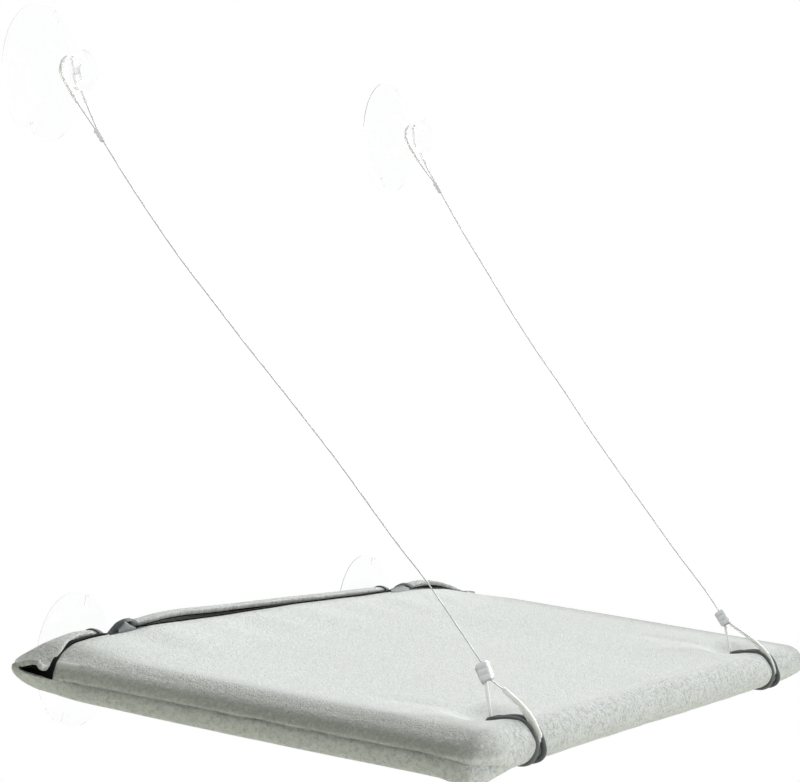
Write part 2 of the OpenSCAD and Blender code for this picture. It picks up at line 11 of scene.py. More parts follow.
import bpy
import numpy as np
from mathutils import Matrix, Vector


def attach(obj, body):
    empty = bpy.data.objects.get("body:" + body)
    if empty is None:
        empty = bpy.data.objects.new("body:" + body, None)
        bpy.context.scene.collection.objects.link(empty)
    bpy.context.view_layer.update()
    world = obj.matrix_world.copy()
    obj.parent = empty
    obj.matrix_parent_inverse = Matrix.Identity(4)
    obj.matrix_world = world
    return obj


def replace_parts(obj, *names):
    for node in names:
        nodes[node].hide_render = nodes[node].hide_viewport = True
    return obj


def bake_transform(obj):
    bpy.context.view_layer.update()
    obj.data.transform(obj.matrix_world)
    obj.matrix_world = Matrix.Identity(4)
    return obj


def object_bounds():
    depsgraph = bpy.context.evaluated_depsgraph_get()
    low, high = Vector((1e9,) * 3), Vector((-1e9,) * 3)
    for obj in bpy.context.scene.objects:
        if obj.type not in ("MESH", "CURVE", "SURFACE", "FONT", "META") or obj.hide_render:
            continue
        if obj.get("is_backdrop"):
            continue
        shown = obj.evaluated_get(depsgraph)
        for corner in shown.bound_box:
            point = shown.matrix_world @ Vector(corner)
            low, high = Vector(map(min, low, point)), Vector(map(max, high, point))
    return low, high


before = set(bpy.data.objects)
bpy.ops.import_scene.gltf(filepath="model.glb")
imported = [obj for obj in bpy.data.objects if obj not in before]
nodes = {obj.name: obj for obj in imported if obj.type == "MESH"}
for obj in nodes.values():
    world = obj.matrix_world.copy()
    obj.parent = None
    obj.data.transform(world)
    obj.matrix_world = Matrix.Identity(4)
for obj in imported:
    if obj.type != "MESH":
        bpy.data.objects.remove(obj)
cad_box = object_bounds()

# %% [markdown]
# The platform slopes 6.8 degrees down to the room and turns about its rear tube. Its pieces are
# easier to think about in axes of their own: x along the window, y from the rear tube's axis
# towards the glass, z square to the panel. All shapes below are in millimetres there, and one
# function brings them into the shared frame.

# %% The platform's own axes
MM = 0.001
TILT = math.radians(6.8)
STANDOFF = 31.0
TUBE_RISE = 2.0
ROLL_R = 13.0
HALF_FLAT = 286.0
FRONT = -281.0
CORNER_R = 12.0
SEAM_END = -23.0


def in_frame(p):
    """Turns platform millimetres into frame metres: a turn about X by the tilt, then a move to
    the rear tube's axis."""
    p = np.asarray(p, float)
    x, y, z = p[..., 0], p[..., 1], p[..., 2]
    c, s = math.cos(TILT), math.sin(TILT)
    return np.stack([x, -STANDOFF + y * c - z * s, TUBE_RISE + y * s + z * c], -1) * MM


def stack(x, y, z):
    """Three arrays, spread to one shape, as an array of points."""
    return np.stack(np.broadcast_arrays(x, y, z), -1).astype(float)


def unit(v):
    """Vectors over their length, which leaves only their direction."""
    return v / np.linalg.norm(v, axis=-1, keepdims=True)


print("rear tube's axis:", in_frame([0, 0, 0]).round(4))

# %% [markdown]
# Each new surface is one or more grids of points. A grid's faces follow from its two counts.
# Grids that share an edge are welded by merging points that lie in the same place, so that a cloth is one
# sheet without cracks. The resting place of each point is stored in an attribute, and the cloth materials
# read it, so their fibres stay put if the cloth is moved.

# %% Meshes from grids
def grid_faces(n, m, flip=False):
    """Four-sided faces between the points of an n by m grid."""
    a = (np.arange(n - 1)[:, None] * m + np.arange(m - 1)[None, :])
    quads = np.stack([a, a + m, a + m + 1, a + 1], -1)
    return quads[..., ::-1] if flip else quads


def weld(patches):
    """Joins grids (points, kept faces or None, flipped or not). Points closer than a hundredth
    of a millimetre become one, and faces that lose a corner become triangles or go."""
    points, faces, count = [], [], 0
    for grid, keep, flip in patches:
        n, m = grid.shape[:2]
        quads = grid_faces(n, m, flip)
        quads = quads.reshape(-1, 4) if keep is None else quads[keep]
        points.append(grid.reshape(-1, 3))
        faces.append(quads + count)
        count += n * m
    points, faces = np.concatenate(points), np.concatenate(faces)
    _, first, back = np.unique(np.round(points, 2), axis=0, return_index=True, return_inverse=True)
    faces = back.ravel()[faces]
    used, renumbered = np.unique(faces, return_inverse=True)
    return points[first][used], renumbered.reshape(faces.shape)


def put_mesh(name, points, faces):
    """A mesh object in frame metres, with its resting place as an attribute."""
    distinct = [list(dict.fromkeys(f)) for f in faces.tolist()]
    mesh = bpy.data.meshes.new(name)
    mesh.from_pydata(points.tolist(), [], [f for f in distinct if len(f) > 2])
    mesh.polygons.foreach_set("use_smooth", np.full(len(mesh.polygons), True))
    rest = mesh.attributes.new("rest", "FLOAT_VECTOR", "POINT")
    rest.data.foreach_set("vector", np.asarray(points, np.float32).ravel())
    mesh.update()
    piece = bpy.data.objects.new(name, mesh)
    bpy.context.scene.collection.objects.link(piece)
    return piece


def thicken(piece, millimetres, levels=0):
    """Gives a sheet its thickness, inwards from its face, and rounds it if levels are given."""
    solid = piece.modifiers.new("thickness", "SOLIDIFY")
    solid.thickness = millimetres * MM
    solid.offset = -1.0
    solid.use_even_offset = False
    solid.use_quality_normals = True
    if levels:
        smooth = piece.modifiers.new("rounding", "SUBSURF")
        smooth.levels = smooth.render_levels = levels
    return piece


def sewn(name, patches):
    """A piece from patches in platform millimetres, welded to one mesh."""
    points, faces = weld(patches)
    print(name, "has", len(faces), "faces")
    return put_mesh(name, in_frame(points), faces)


def sheet_of(name, grid, millimetres):
    """A piece from one grid, with a thickness."""
    return thicken(sewn(name, [(grid, None, False)]), millimetres)


def look(piece, material):
    """Gives a piece one material."""
    piece.data.materials.clear()
    piece.data.materials.append(material)
    return piece


# %% [markdown]
# Cloth edges and ridges are given as short tables of places, chosen from the real object.
# A straight line between entries would leave kinks in the felt, so each table is sampled finely
# and then smoothed with a bell-shaped window.

# %% Smooth curves through tables
def smooth_table(table, width):
    """A function through (place, value) rows: straight lines between them, then a weighted mean
    over a bell of the given width."""
    rows = np.asarray(table, float)
    step = width / 6
    at = np.arange(rows[0, 0] - 4 * width, rows[-1, 0] + 4 * width, step)
    raw = np.stack([np.interp(at, rows[:, 0], rows[:, k]) for k in range(1, rows.shape[1])], -1)
    weights = np.exp(-0.5 * (np.arange(-18, 19) * step / (width / 2)) ** 2)
    weights /= weights.sum()
    soft = np.stack([np.convolve(np.pad(r, 18, mode="edge"), weights, "valid") for r in raw.T], -1)

    def read(x):
        x = np.asarray(x, float)
        out = np.stack([np.interp(x, at, soft[:, k]) for k in range(soft.shape[1])], -1)
        return out[..., 0] if out.shape[-1] == 1 else out

    return read


def ease(v):
    """Rises smoothly from 0 to 1 as v does."""
    v = np.clip(v, 0, 1)
    return v * v * (3 - 2 * v)


def bell(v, middle, width):
    """A bell curve: 1 at its middle, and about a third one width away on either side."""
    return np.exp(-((v - middle) / width) ** 2)


def spaced(marks, step):
    """Marks with even steps between them, no longer than the step."""
    counts = [max(2, math.ceil((b - a) / step) + 1) for a, b in zip(marks[:-1], marks[1:])]
    parts = [np.linspace(a, b, n)[:-1] for a, b, n in zip(marks[:-1], marks[1:], counts)]
    return np.concatenate(parts + [[marks[-1]]])


def spline(points, n):
    """n points along a Catmull-Rom curve through the last-but-one axis of an array."""
    p = np.asarray(points, float)
    p = np.concatenate([2 * p[..., :1, :] - p[..., 1:2, :], p, 2 * p[..., -1:, :] - p[..., -2:-1, :]], -2)
    at = np.linspace(0, p.shape[-2] - 3, n)
    k = np.minimum(at.astype(int), p.shape[-2] - 4)
    t = (at - k)[:, None]
    a, b, c, d = (p[..., k + i, :] for i in range(4))
    bend, twist = 2 * a - 5 * b + 4 * c - d, 3 * b - a - 3 * c + d
    return 0.5 * (2 * b + (c - a) * t + bend * t ** 2 + twist * t ** 3)


print("a smooth step at its middle:", float(ease(0.5)))
# %% [markdown]
# ## The shape of the top panel
# The felt is stretched between four tubes, so the top panel sags a little in its middle. At the
# rear the panel isn't tight: it stands up in a low ridge in front of the tube, highest left of
# the middle, and drops again beyond the right notch. A few soft folds run from the two slits,
# where the cables pull, and some very shallow waves keep the panel from looking like a board.

# %% Height of the top panel
STEP = 4.0
NOTCHES = ((-223.0, -181.0), (171.0, 213.0))
NOTCH_FRONT = -8.5
NOTCH_UNDER = -16.0
SLIT_X = 211.0
SLIT_HALF = 3.2
SLIT_END = -261.0
EDGE_X = 299.0
SHOULDER_X = 262.0
rear_rise = smooth_table([[-310, -1.5], [-290, 0], [-276, 1.7], [-265, 2.6], [-254, 3.4], [-243, 4.4],
    [-234, 4.9], [-224, 5.1], [-205, 5.6], [-198, 6.0], [-189, 6.8], [-170, 7.4], [-150, 7.6], [-135, 7.4],
    [-88, 6.9], [9, 6.7], [70, 5.7], [126, 4.8], [167, 4.5], [190, 4.2], [214, 3.4], [232, 2.4], [250, 0.9],
    [269, -0.1], [286, -0.2], [310, -0.5]], 9)
ridge_fall = smooth_table([[-140, 0], [-92, 0], [-62, 0.1], [-40, 0.38], [-23, 0.76], [-14, 0.98],
    [-7, 1.03], [-3, 0.86], [1, 0.55], [6, 0.3], [20, 0.1]], 4)


def fold(x, y, start, end, width, height):
    """A straight soft fold: a bell across it, fading out towards both of its ends."""
    a, b = np.asarray(start, float), np.asarray(end, float)
    way = b - a
    length = np.hypot(*way)
    along = ((x - a[0]) * way[0] + (y - a[1]) * way[1]) / length ** 2
    off = ((x - a[0]) * way[1] - (y - a[1]) * way[0]) / length
    return height * bell(off, 0, width) * ease(along / 0.25) * ease((1 - along) / 0.6)


def slackness(x, y):
    """Small uneven waves of the felt: folds that fan out from each slit, puckers along the front
    edge and the ridge, and long shallow waves over the whole panel."""
    x, y = np.broadcast_arrays(np.asarray(x, float), np.asarray(y, float))
    low = 0.35 * np.sin(x / 61 + 0.8 * np.sin(y / 70)) * np.sin(y / 53 + 1.3)
    low += 0.22 * np.sin(x / 27 + y / 41 + 0.7) * np.sin(x / 88 - y / 33)
    for s in (-SLIT_X, SLIT_X):
        low += fold(x, y, (s - 6, -262), (s - 95, -205), 8, 0.6)
        low += fold(x, y, (s + 6, -262), (s + 80, -222), 9, 0.5)
        low += fold(x, y, (s - 4, -250), (s - 18, -170), 9, -0.6)
        low += fold(x, y, (s + 12, -272), (s + 70, -268), 6, 0.4)
    low += fold(x, y, (-281, -262), (-232, -216), 12, -0.6)
    low += 0.5 * np.sin(x / 14 + 1.1) * np.sin(x / 37 + 0.4) * bell(y, -34, 22)
    return low


def slump(y):
    """How far the side roll has gone slack: not at all in front, wholly at the rear corner."""
    return ease((y + 62) / 46)


def pull(x, y):
    """The hollow behind each slit, where the cable's loop pulls the felt down on the tube."""
    return 6.0 * bell(np.abs(x), SLIT_X, 24) * bell(y, -256, 12.5)


def shoulder(x):
    """Height of the felt over the side tubes: full to 262 mm, then down to nothing at 299 mm, as
    the root of one less the 2.3rd power of the share of that way. A half ellipse has a power of
    2; this is a little fuller."""
    share = ((np.abs(x) - SHOULDER_X).clip(0) / (EDGE_X - SHOULDER_X)).clip(0, 1)
    return ROLL_R * np.sqrt(1 - share ** 2.3)


def edge_fall(x, y):
    """How far the panel falls towards its left and right edges: the shoulder's fall, and a
    little more at the front corners, where the felt is slack."""
    corner = ease((np.abs(x) - 230) / 40) * ease((-235 - y) / 28)
    return ROLL_R - shoulder(x) + 0.3 * corner


def dome(x, y):
    """One in the panel's middle, falling as a square does to nothing at its edges."""
    return (1 - (x / EDGE_X) ** 2).clip(0) * (1 - ((y + 140) / 153) ** 2).clip(0)


def top_height(x, y):
    """Roll radius, plus the rear rise as it falls off to the front, less the sag (a dome turned
    down), less the slump of the rear corners, the fall of the edges and the pull at the slits,
    plus the slackness, which dies away at the left and right edges."""
    x, y = np.broadcast_arrays(np.asarray(x, float), np.asarray(y, float))
    rim = ease((HALF_FLAT - np.abs(x)) / 30) * 0.75 + 0.25
    slack = slump(y)
    low = 2.2 * dome(x, y) + 3.8 * ease((np.abs(x) - 256) / 30) * slack + pull(x, y)
    low += edge_fall(x, y) * (1 - slack)
    return ROLL_R + rear_rise(x) * ridge_fall(y) - low + slackness(x, y) * rim


print("top panel at the middle:", float(top_height(0, -140)))
print("and at the ridge:", float(top_height(-120, -7)))

# %% [markdown]
# ## The felt cover
# Sewn felt over tubes has three kinds of surface: two nearly flat panels, a roll round the tubes,
# and a wrap round the rear tube that comes up as a short wall. A box with rounded edges would
# give the outline but not the cushion-like lobes on either side of the side seam. So the cover
# is built the way it is sewn. The panels are grids whose corner squares are bent to a quarter
# disc. The roll follows the panels' edge and turns half a circle, with a groove where the side
# seam draws the felt in. The groove stays shallow, because a tube lies close behind it. Nothing
# here is simulated: the felt is stretched, and its few folds are part of the height function.

# %% Panels, roll and rear wrap
CORNER_X = HALF_FLAT - CORNER_R
CORNER_Y = FRONT + CORNER_R
xs = spaced([-286, -274, -223, -214.2, -207.8, -181, 171, 207.8, 213, 214.2, 274, 286], STEP)
corner_x = np.linspace(CORNER_X, HALF_FLAT, 6)
xs = np.unique(np.concatenate([xs, -corner_x, corner_x]).round(4))
ys = spaced([-281, -269, SLIT_END, SEAM_END, NOTCH_FRONT, -7, 6], STEP)
ys = np.unique(np.concatenate([ys, np.linspace(FRONT, CORNER_Y, 6)]).round(4))
J_SEAM = int(np.argmin(np.abs(ys - SEAM_END)))


def panel_places(x, y):
    """Plan of a panel's grid. In the front right corner the square is bent to a quarter disc:
    each coordinate shrinks by the root of one less half the other's square. The front left
    corner is fuller, with a share of a fifth in place of the half."""
    x, y = np.meshgrid(x, y, indexing="ij")
    a = ((np.abs(x) - CORNER_X) / CORNER_R).clip(0)
    b = ((CORNER_Y - y) / CORNER_R).clip(0)
    share = np.where(x < 0, 0.2, 0.5)
    bent_a, bent_b = a * np.sqrt(1 - share * b ** 2), b * np.sqrt(1 - share * a ** 2)
    corner = (a > 0) & (b > 0)
    x = np.where(corner, np.sign(x) * (CORNER_X + bent_a * CORNER_R), x)
    y = np.where(corner, CORNER_Y - bent_b * CORNER_R, y)
    return x, y


px, py = panel_places(xs, ys)
top_grid = stack(px, py, top_height(px, py))
low_sag = 1.6 * dome(px, py)
low_sag += 0.3 * np.sin(px / 47) * np.sin(py / 39)
low_sag *= ease((SEAM_END - py) / 40) * ease((HALF_FLAT - np.abs(px)) / 30)
corner_lift = smooth_table([[-140, 0], [-100, 0.5], [-70, 1.0], [-50, 1.2], [-35, 1.35], [-23, 1.6],
    [-16, 1.9], [-10, 2.2], [-4, 2.7], [2, 3.4], [6, 4.0], [13, 4.4]], 8)


def under_lift(x, y):
    """How far the underside rises towards the rear corners, where no tube holds it down, and
    towards the front right corner, which is pinched flat."""
    return corner_lift(y) * ease((np.abs(x) - 262) / 25) + 3.7 * ease((x - 235) / 50) * ease((-245 - y) / 35)


low_grid = stack(px, py, -ROLL_R + low_sag + under_lift(px, py))[:, :J_SEAM + 1]
in_slit = np.abs(np.abs((xs[1:] + xs[:-1]) / 2) - SLIT_X) < SLIT_HALF
mid_x, mid_y = (xs[1:] + xs[:-1]) / 2, (ys[1:] + ys[:-1]) / 2
in_notch = np.any([(mid_x > a) & (mid_x < b) for a, b in NOTCHES], 0)
top_keep = ~((in_slit[:, None] & (mid_y < SLIT_END)) | (in_notch[:, None] & (mid_y > NOTCH_FRONT)))
low_keep = ~(in_slit[:, None] & (mid_y[:J_SEAM] < FRONT + 4.8))

edge = np.concatenate([[(0, j) for j in range(J_SEAM, 0, -1)], [(i, 0) for i in range(len(xs))],
    [(len(xs) - 1, j) for j in range(1, J_SEAM + 1)]])
edge_x, edge_y = px[edge[:, 0], edge[:, 1]], py[edge[:, 0], edge[:, 1]]
out_x = edge_x - edge_x.clip(-CORNER_X, CORNER_X)
out_y = edge_y - edge_y.clip(CORNER_Y, None)
out_length = np.hypot(out_x, out_y)
out_x, out_y = out_x / out_length, out_y / out_length
angles = np.radians([90, 80, 70, 60, 50, 41, 33, 26, 20, 14.5, 10, 6.5, 4, 2, 0,
    -2, -4, -6.5, -10, -14.5, -20, -26, -33, -41, -50, -60, -70, -80, -90])


def seam_groove(angle, strength):
    """How far the side seam draws the roll in: a narrow bell at the seam and a wide one round it,
    so that the felt above and below it swells as two lobes, most at half a right angle."""
    arc = angle * ROLL_R
    swell = 0.35 + 0.6 * np.sin(2 * angle) ** 2
    return strength * (2.3 * bell(arc, 0, 1.3) + bell(arc, 0, 4.5) - swell)


side = ease((np.abs(out_x) - 0.35) / 0.5) * ease((SEAM_END + 1 - edge_y) / 14)
past = 0.4 * ((-270 - edge_y) / 10).clip(0, 1) + 0.6 * ((edge_x + 286) / 22).clip(0, 1)
hooked = ease((-256 - edge_x) / 12) * ease((-262 - edge_y) / 14)
side = np.maximum(side, 1.45 * hooked)
right_corner = 2 * np.abs(out_x * out_y) * (edge_x > 0)
side = side * (1 - 0.85 * right_corner)
seam_drop = 0.62 * past * (edge_x < -250)
waver = 0.35 * np.sin(edge_y / 9 + 1.0) * np.sin(edge_y / 31) + 0.25 * np.sin(edge_y / 5.3)
lobe = ROLL_R - seam_groove(angles[None, :] + (seam_drop - waver / ROLL_R)[:, None], side[:, None])
ripple = 0.35 * np.sin(edge_x / 23 + edge_y / 17) * np.sin(edge_x / 9.7 + 0.5)
lobe = lobe + ripple[:, None] * np.cos(angles)
at_slit = bell(np.abs(edge_x), SLIT_X, 13) * (edge_y < FRONT + 1)
lobe = lobe - 1.6 * at_slit[:, None] * bell(angles, 0.7, 0.5)
bulge = np.abs(out_y) * bell(edge_x, -272, 32)
lobe = lobe + 3.0 * bulge[:, None] * bell(angles, -0.95, 0.5)
lobe = lobe * (1 - 0.17 * right_corner[:, None] * np.cos(angles))
lobe = np.maximum(lobe, 9.7 - 2 * np.abs(out_x * out_y)[:, None])
up = np.sin(angles)[None, :]
slack_side = (slump(edge_y) * side)[:, None]
top_edge = (top_height(edge_x, edge_y) - ROLL_R)[:, None]
low_edge = (ROLL_R + low_grid[edge[:, 0], edge[:, 1], 2])[:, None]
over = (ROLL_R * up - shoulder(HALF_FLAT + ROLL_R * np.cos(angles))) / (ROLL_R - shoulder(HALF_FLAT))
square_on = ease((np.abs(out_x) - 0.3) / 0.6)[:, None]
fall = (over * square_on + up ** 2 * (1 - square_on)) * (1 - slack_side) + up * slack_side
roll_z = lobe * up + np.where(up > 0, top_edge * fall, low_edge * up ** 2)
roll_z -= np.where(up > 0, 1.6 * slack_side * np.sin(2 * angles), 0)
roll_grid = stack(edge_x[:, None] + lobe * np.cos(angles) * out_x[:, None],
    edge_y[:, None] + lobe * np.cos(angles) * out_y[:, None], roll_z)
roll_grid[:, 0] = top_grid[edge[:, 0], edge[:, 1]]
roll_grid[:, -1] = low_grid[edge[:, 0], edge[:, 1]]
mid_edge = (edge_x[1:] + edge_x[:-1]) / 2
on_front = (np.abs(np.abs(mid_edge) - SLIT_X) < SLIT_HALF) & (edge_y[1:] < FRONT + 1)
roll_keep = np.repeat(~on_front[:, None], len(angles) - 1, 1)
print("panel grid", top_grid.shape, "roll grid", roll_grid.shape)

# %% [markdown]
# Behind the seam's end the two halves of the cover part. The upper half ends under the flap, and
# the lower half goes on round the tube. At its left and right ends the tube has turned its
# corner, so the cloth there isn't held open: its profile closes to a flat C, which is the small
# pointed pocket at the rear corner.

# %% Rear ends of the panels and the wrap
end_rows = ys[J_SEAM:]


def top_end(sign):
    """The upper half's side behind the seam: the quarter roll, drawn in towards its rear edge,
    with its lower border let down a little."""
    go = ((end_rows - SEAM_END) / (ys[-1] - SEAM_END))[None, :]
    first = roll_grid[0 if sign < 0 else -1, :15]
    reach = (first[:, 0] * sign - HALF_FLAT)[:, None] * (1 - 0.22 * go ** 1.6)
    base = -1.4 * ease(go / 0.7)
    crest = top_height(sign * HALF_FLAT, end_rows)[None, :]
    share = (first[:, 2] / first[0, 2])[:, None]
    return stack(sign * (HALF_FLAT + reach), end_rows[None, :], base * (1 - share) + crest * share)


WRAP_ROWS = 24
wrap_main = spline([[-23, -13], [-15, -13], [-7, -13], [0, -13], [6.5, -11.26], [11.26, -6.5], [13, 0],
    [12.6, 4]], WRAP_ROWS)
wrap_end = spline([[-23, 0], [-17, 0.1], [-11, 0.5], [-7, 1.0], [-4, 1.5], [-1.5, 2.2], [1.0, 3.2],
    [1.7, 4.6]], WRAP_ROWS)
wrap_reach = spline(np.array([13, 14.5, 16, 17, 17.6, 17.8, 17.9, 17.8])[:, None], WRAP_ROWS)[:, 0]


def lifted_wrap(x):
    """Heights of the wrap's profile at each place along the window, with its underside raised
    towards the rear corners in proportion to its depth."""
    y, z = wrap_main[:, 0], wrap_main[:, 1]
    lift = under_lift(np.asarray(x, float).reshape(-1, 1), y[None, :])
    return np.where(z < 0, z * (1 - lift / ROLL_R), z)


def wrap_corner(sign):
    """The wrap's end: it turns through a quarter with the roll, from the main profile to the
    pocket's, while it reaches further out towards the rear."""
    turn = np.pi / 2 + angles[14:]
    share = (1 - np.cos(turn))[:, None]
    flatter = share + 0.25 * np.sin(2 * turn)[:, None] * ease((wrap_main[:, 0] + 23) / 12)[None, :]
    y = wrap_main[:, 0] * (1 - share) + wrap_end[:, 0] * share
    z = lifted_wrap(HALF_FLAT)[0] * (1 - flatter) + wrap_end[:, 1] * flatter
    x = HALF_FLAT + wrap_reach[None, :] * np.sin(turn)[:, None]
    grid = stack(sign * x, y, z)
    grid[:, 0] = roll_grid[0 if sign < 0 else -1, 14:]
    return grid


wrap_grid = stack(xs[:, None], wrap_main[None, :, 0], lifted_wrap(xs))
wrap_grid[:, 0] = low_grid[:, -1]
wrap_mid_y = (wrap_main[1:, 0] + wrap_main[:-1, 0]) / 2
wrap_mid_z = (wrap_main[1:, 1] + wrap_main[:-1, 1]) / 2
wrap_keep = ~(in_notch[:, None] & ((wrap_mid_y > NOTCH_UNDER) | (wrap_mid_z > -12))[None, :])
print("wrap ends at", wrap_grid[0, -1].round(2))

# %% [markdown]
# Felt is a thick cloth, so the welded sheet gets a real thickness inwards. Its cloth is cut to the width of
# the panel and both half rolls, and to the whole way round.

# %% Weld and thicken the cover
FELT = 2.7
felt_cover = sewn("felt_cover", [
    (top_grid, top_keep, False), (roll_grid, roll_keep, True), (low_grid, low_keep, True),
    (top_end(-1), None, True), (top_end(1), None, False),
    (wrap_grid, wrap_keep, True), (wrap_corner(-1), None, True), (wrap_corner(1), None, False)])
thicken(felt_cover, FELT)

# %% [markdown]
# ## The three flaps
# Each flap is the upper end of the lower cloth. It comes up behind the tube, bends over it and
# is held down on the panel's rear edge by a hook strip. A flap is lofted from profiles along
# the window, each with six points from the wall to the free edge, with smooth curves in both
# directions. The outer ends hang over the corners and curl, and the other ends are bound.

# %% Flap profiles
WALL_Y = 12.6
WALL_Z = 4.0
flap_crest = smooth_table([[-310, 13.6], [-287, 14.6], [-264, 17.3], [-250, 19.3], [-237, 19.5], [-225, 19.3],
    [-217, 18.3], [-209, 17.4], [-196, 18.8], [-188, 21.4], [-172, 22.2], [-145, 24.3], [-118, 24.5],
    [-70, 23.2], [28, 21.6], [90, 20.3], [147, 19.3], [172, 18.6], [183, 16.9], [200, 16.6], [211, 17.5],
    [220, 18.6], [228, 19.3], [243, 19.4], [256, 18.0], [270, 15.2], [280, 12.8], [290, 11.5], [310, 10]], 7)


def flap_rows(x):
    """Six profile points at each place along the window: two on the wall at set heights, and four
    that follow the crest."""
    h = flap_crest(x)
    wave = 0.5 * np.sin(x / 17.0 + 0.6) * np.sin(x / 41.0)
    y = np.stack(np.broadcast_arrays(WALL_Y, 12.7, 11.3, 6.8, 2.6 + wave * 0.6, -0.6 + wave), -1)
    z = np.stack(np.broadcast_arrays(WALL_Z, 10.0, 0.6 * h + 3.6, 0.93 * h + 0.9, h, h - 0.9), -1)
    return np.stack([y, z], -1)


end_profiles = np.array([
    [[12.6, 4], [12.7, 10], [11.2, 15.9], [6.6, 19.2], [2.2, 20.0], [-1.2, 19.4]],
    [[12.6, 4], [12.6, 9.6], [11.0, 14.8], [6.4, 18.1], [1.0, 19.2], [-3.4, 19.0]],
    [[12.6, 4], [12.4, 9], [10.6, 13.3], [5.6, 16.7], [-1.2, 18.0], [-8.2, 17.6]],
    [[12.2, 4.1], [12.0, 8], [9.6, 11.5], [4.2, 14.3], [-4.2, 15.2], [-12.0, 14.0]],
    [[9.8, 4.4], [9.6, 7.2], [7.6, 9.4], [2.6, 11.5], [-5.4, 12.2], [-14.4, 10.2]],
    [[6.4, 4.6], [6.4, 6.6], [4.9, 8.2], [0.6, 10.0], [-6.2, 11.3], [-15.0, 9.8]],
    [[1.7, 4.6], [2.0, 6.4], [0.8, 8.2], [-3.2, 10.2], [-8.0, 11.7], [-13.2, 12.2]]])
END_SINK = {-1: np.array([-0.9, -1.3, -1.9, -2.6, -3.0, -2.7, -1.2]),
    1: np.array([-0.9, -1.5, -3.2, -3.7, -3.3, -3.0, -3.2])}
END_SHARE = np.array([0, 0, 0.6, 0.93, 1, 1])
END_PLACES = np.array([247.0, 259.0, 272.0, 284.0, 294.0, 300.0, 303.8])


def loft(places, profiles, n_along, n_across):
    """Curves through each profile, then curves through those along the window."""
    across = spline(np.asarray(profiles, float), n_across)
    x = np.repeat(np.asarray(places, float)[:, None], n_across, 1)
    rows = np.stack([x, across[..., 0], across[..., 1]], -1)
    return spline(rows.transpose(1, 0, 2), n_along).transpose(1, 0, 2)


ROWS = 22


def flap_grid(x0, x1, end=0):
    """A flap between two places. end -1 or 1 gives it the hanging corner on that side."""
    if not end:
        x = spaced([x0, x1], STEP)
        across = spline(flap_rows(x), ROWS)
        return stack(x[:, None], across[..., 0], across[..., 1])
    inner = x1 if end < 0 else x0
    plain_to = END_PLACES[0] - 6
    x = spaced([abs(inner), plain_to], STEP)
    plain = spline(flap_rows(end * x), ROWS)
    plain = stack(end * x[:, None], plain[..., 0], plain[..., 1])
    profiles = end_profiles.copy()
    profiles[..., 1] += END_SHARE * END_SINK[end][:, None]
    places = np.concatenate([[plain_to], END_PLACES])
    profiles = np.concatenate([flap_rows(np.array([end * plain_to])), profiles])
    corner = loft(places, profiles, 34, ROWS)
    wrap_row = wrap_corner(1)[::-1, -1]
    for k, wall in ((1, WALL_Y), (2, WALL_Z)):
        corner[:, 0, k] = np.interp(corner[:, 0, 0], wrap_row[:, 0], wrap_row[:, k], left=wall)
    corner[..., 0] *= end
    grid = np.concatenate([plain, corner[1:]])
    return grid if end > 0 else grid[::-1]


flap_spans = {"left": (-303.8, -220.5, -1), "middle": (-183.0, 173.0, 0), "right": (210.5, 303.8, 1)}
flap_grids = {k: flap_grid(*v) for k, v in flap_spans.items()}
for k, g in flap_grids.items():
    print("flap", k, g.shape, "x", g[0, 0, 0].round(1), g[-1, 0, 0].round(1), "top", g[..., 2].max().round(1))


# %% Place the flaps
def face_normals(grid):
    """Unit normals of a grid: the cross product of its two directions, flipped for the outside."""
    n = np.cross(np.gradient(grid, axis=1), np.gradient(grid, axis=0))
    return n / np.linalg.norm(n, axis=-1, keepdims=True).clip(1e-9)


def bend(piece, flap):
    """Bakes the piece's place into its mesh; the flap argument is not used."""
    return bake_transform(piece)


FLAP_FELT = 3.2
flaps = {}
for k, grid in flap_grids.items():
    flaps[k] = bend(thicken(sewn("flap_felt_" + k, [(grid, None, True)]), FLAP_FELT, 1), k)

# %% [markdown]
# ## Hook and loop strips
# The black fastener is a band of loops sewn along the panel's rear margin and a narrower band of
# hooks under each flap. From the room it shows as a dark line below the flap's edge, and at the
# outer corners as the dark inside of the pocket. Both bands are offsets of surfaces that are
# already there, so they follow every wave of the felt.

# %% Strips that follow the panel and the flaps
STRIP = 0.8
LINING_IN = 3.6
STRIP_REAR = 5.6
upper_rear = np.concatenate([top_end(-1)[::-1], top_grid[1:-1, J_SEAM:], top_end(1)])
upper_normal = -face_normals(upper_rear)
strip_front = smooth_table([[0, -7.5], [258, -7.5], [266, -8.2], [275, -9.7], [285, -13.8], [294, -18.5],
    [300, -22.2], [320, -23]], 3)


def along_rows(grid, y):
    """Reads each column of a grid over the rear rows at places of its own between two rows."""
    at = np.interp(y, end_rows, np.arange(len(end_rows))).clip(0, len(end_rows) - 1.001)
    k = at.astype(int)
    share = (at - k)[..., None]
    column = np.arange(len(grid))[:, None]
    return grid[column, k] * (1 - share) + grid[column, k + 1] * share


def pocket_lining(sign):
    """The black inside of a rear corner, a little within the wrap's felt."""
    corner = wrap_corner(sign)
    return (corner + sign * face_normals(corner) * LINING_IN)[:, 9:]


loop_strips = {}
for k, (x0, x1, end) in flap_spans.items():
    column_x = upper_rear[:, -1, 0]
    use = (column_x > x0 - 10 * (end < 0)) & (column_x < x1 + 10 * (end > 0))
    front = strip_front(np.abs(column_x))[:, None]
    y = front + (STRIP_REAR - front) * np.linspace(0, 1, 9)[None, :]
    grid = (along_rows(upper_rear, y) + along_rows(upper_normal, y) * 0.95)[use]
    patches = [(grid, None, False)]
    if end:
        patches.append((pocket_lining(end), None, end < 0))
    loop_strips[k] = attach(thicken(sewn("loop_band_" + k, patches), STRIP), "platform")

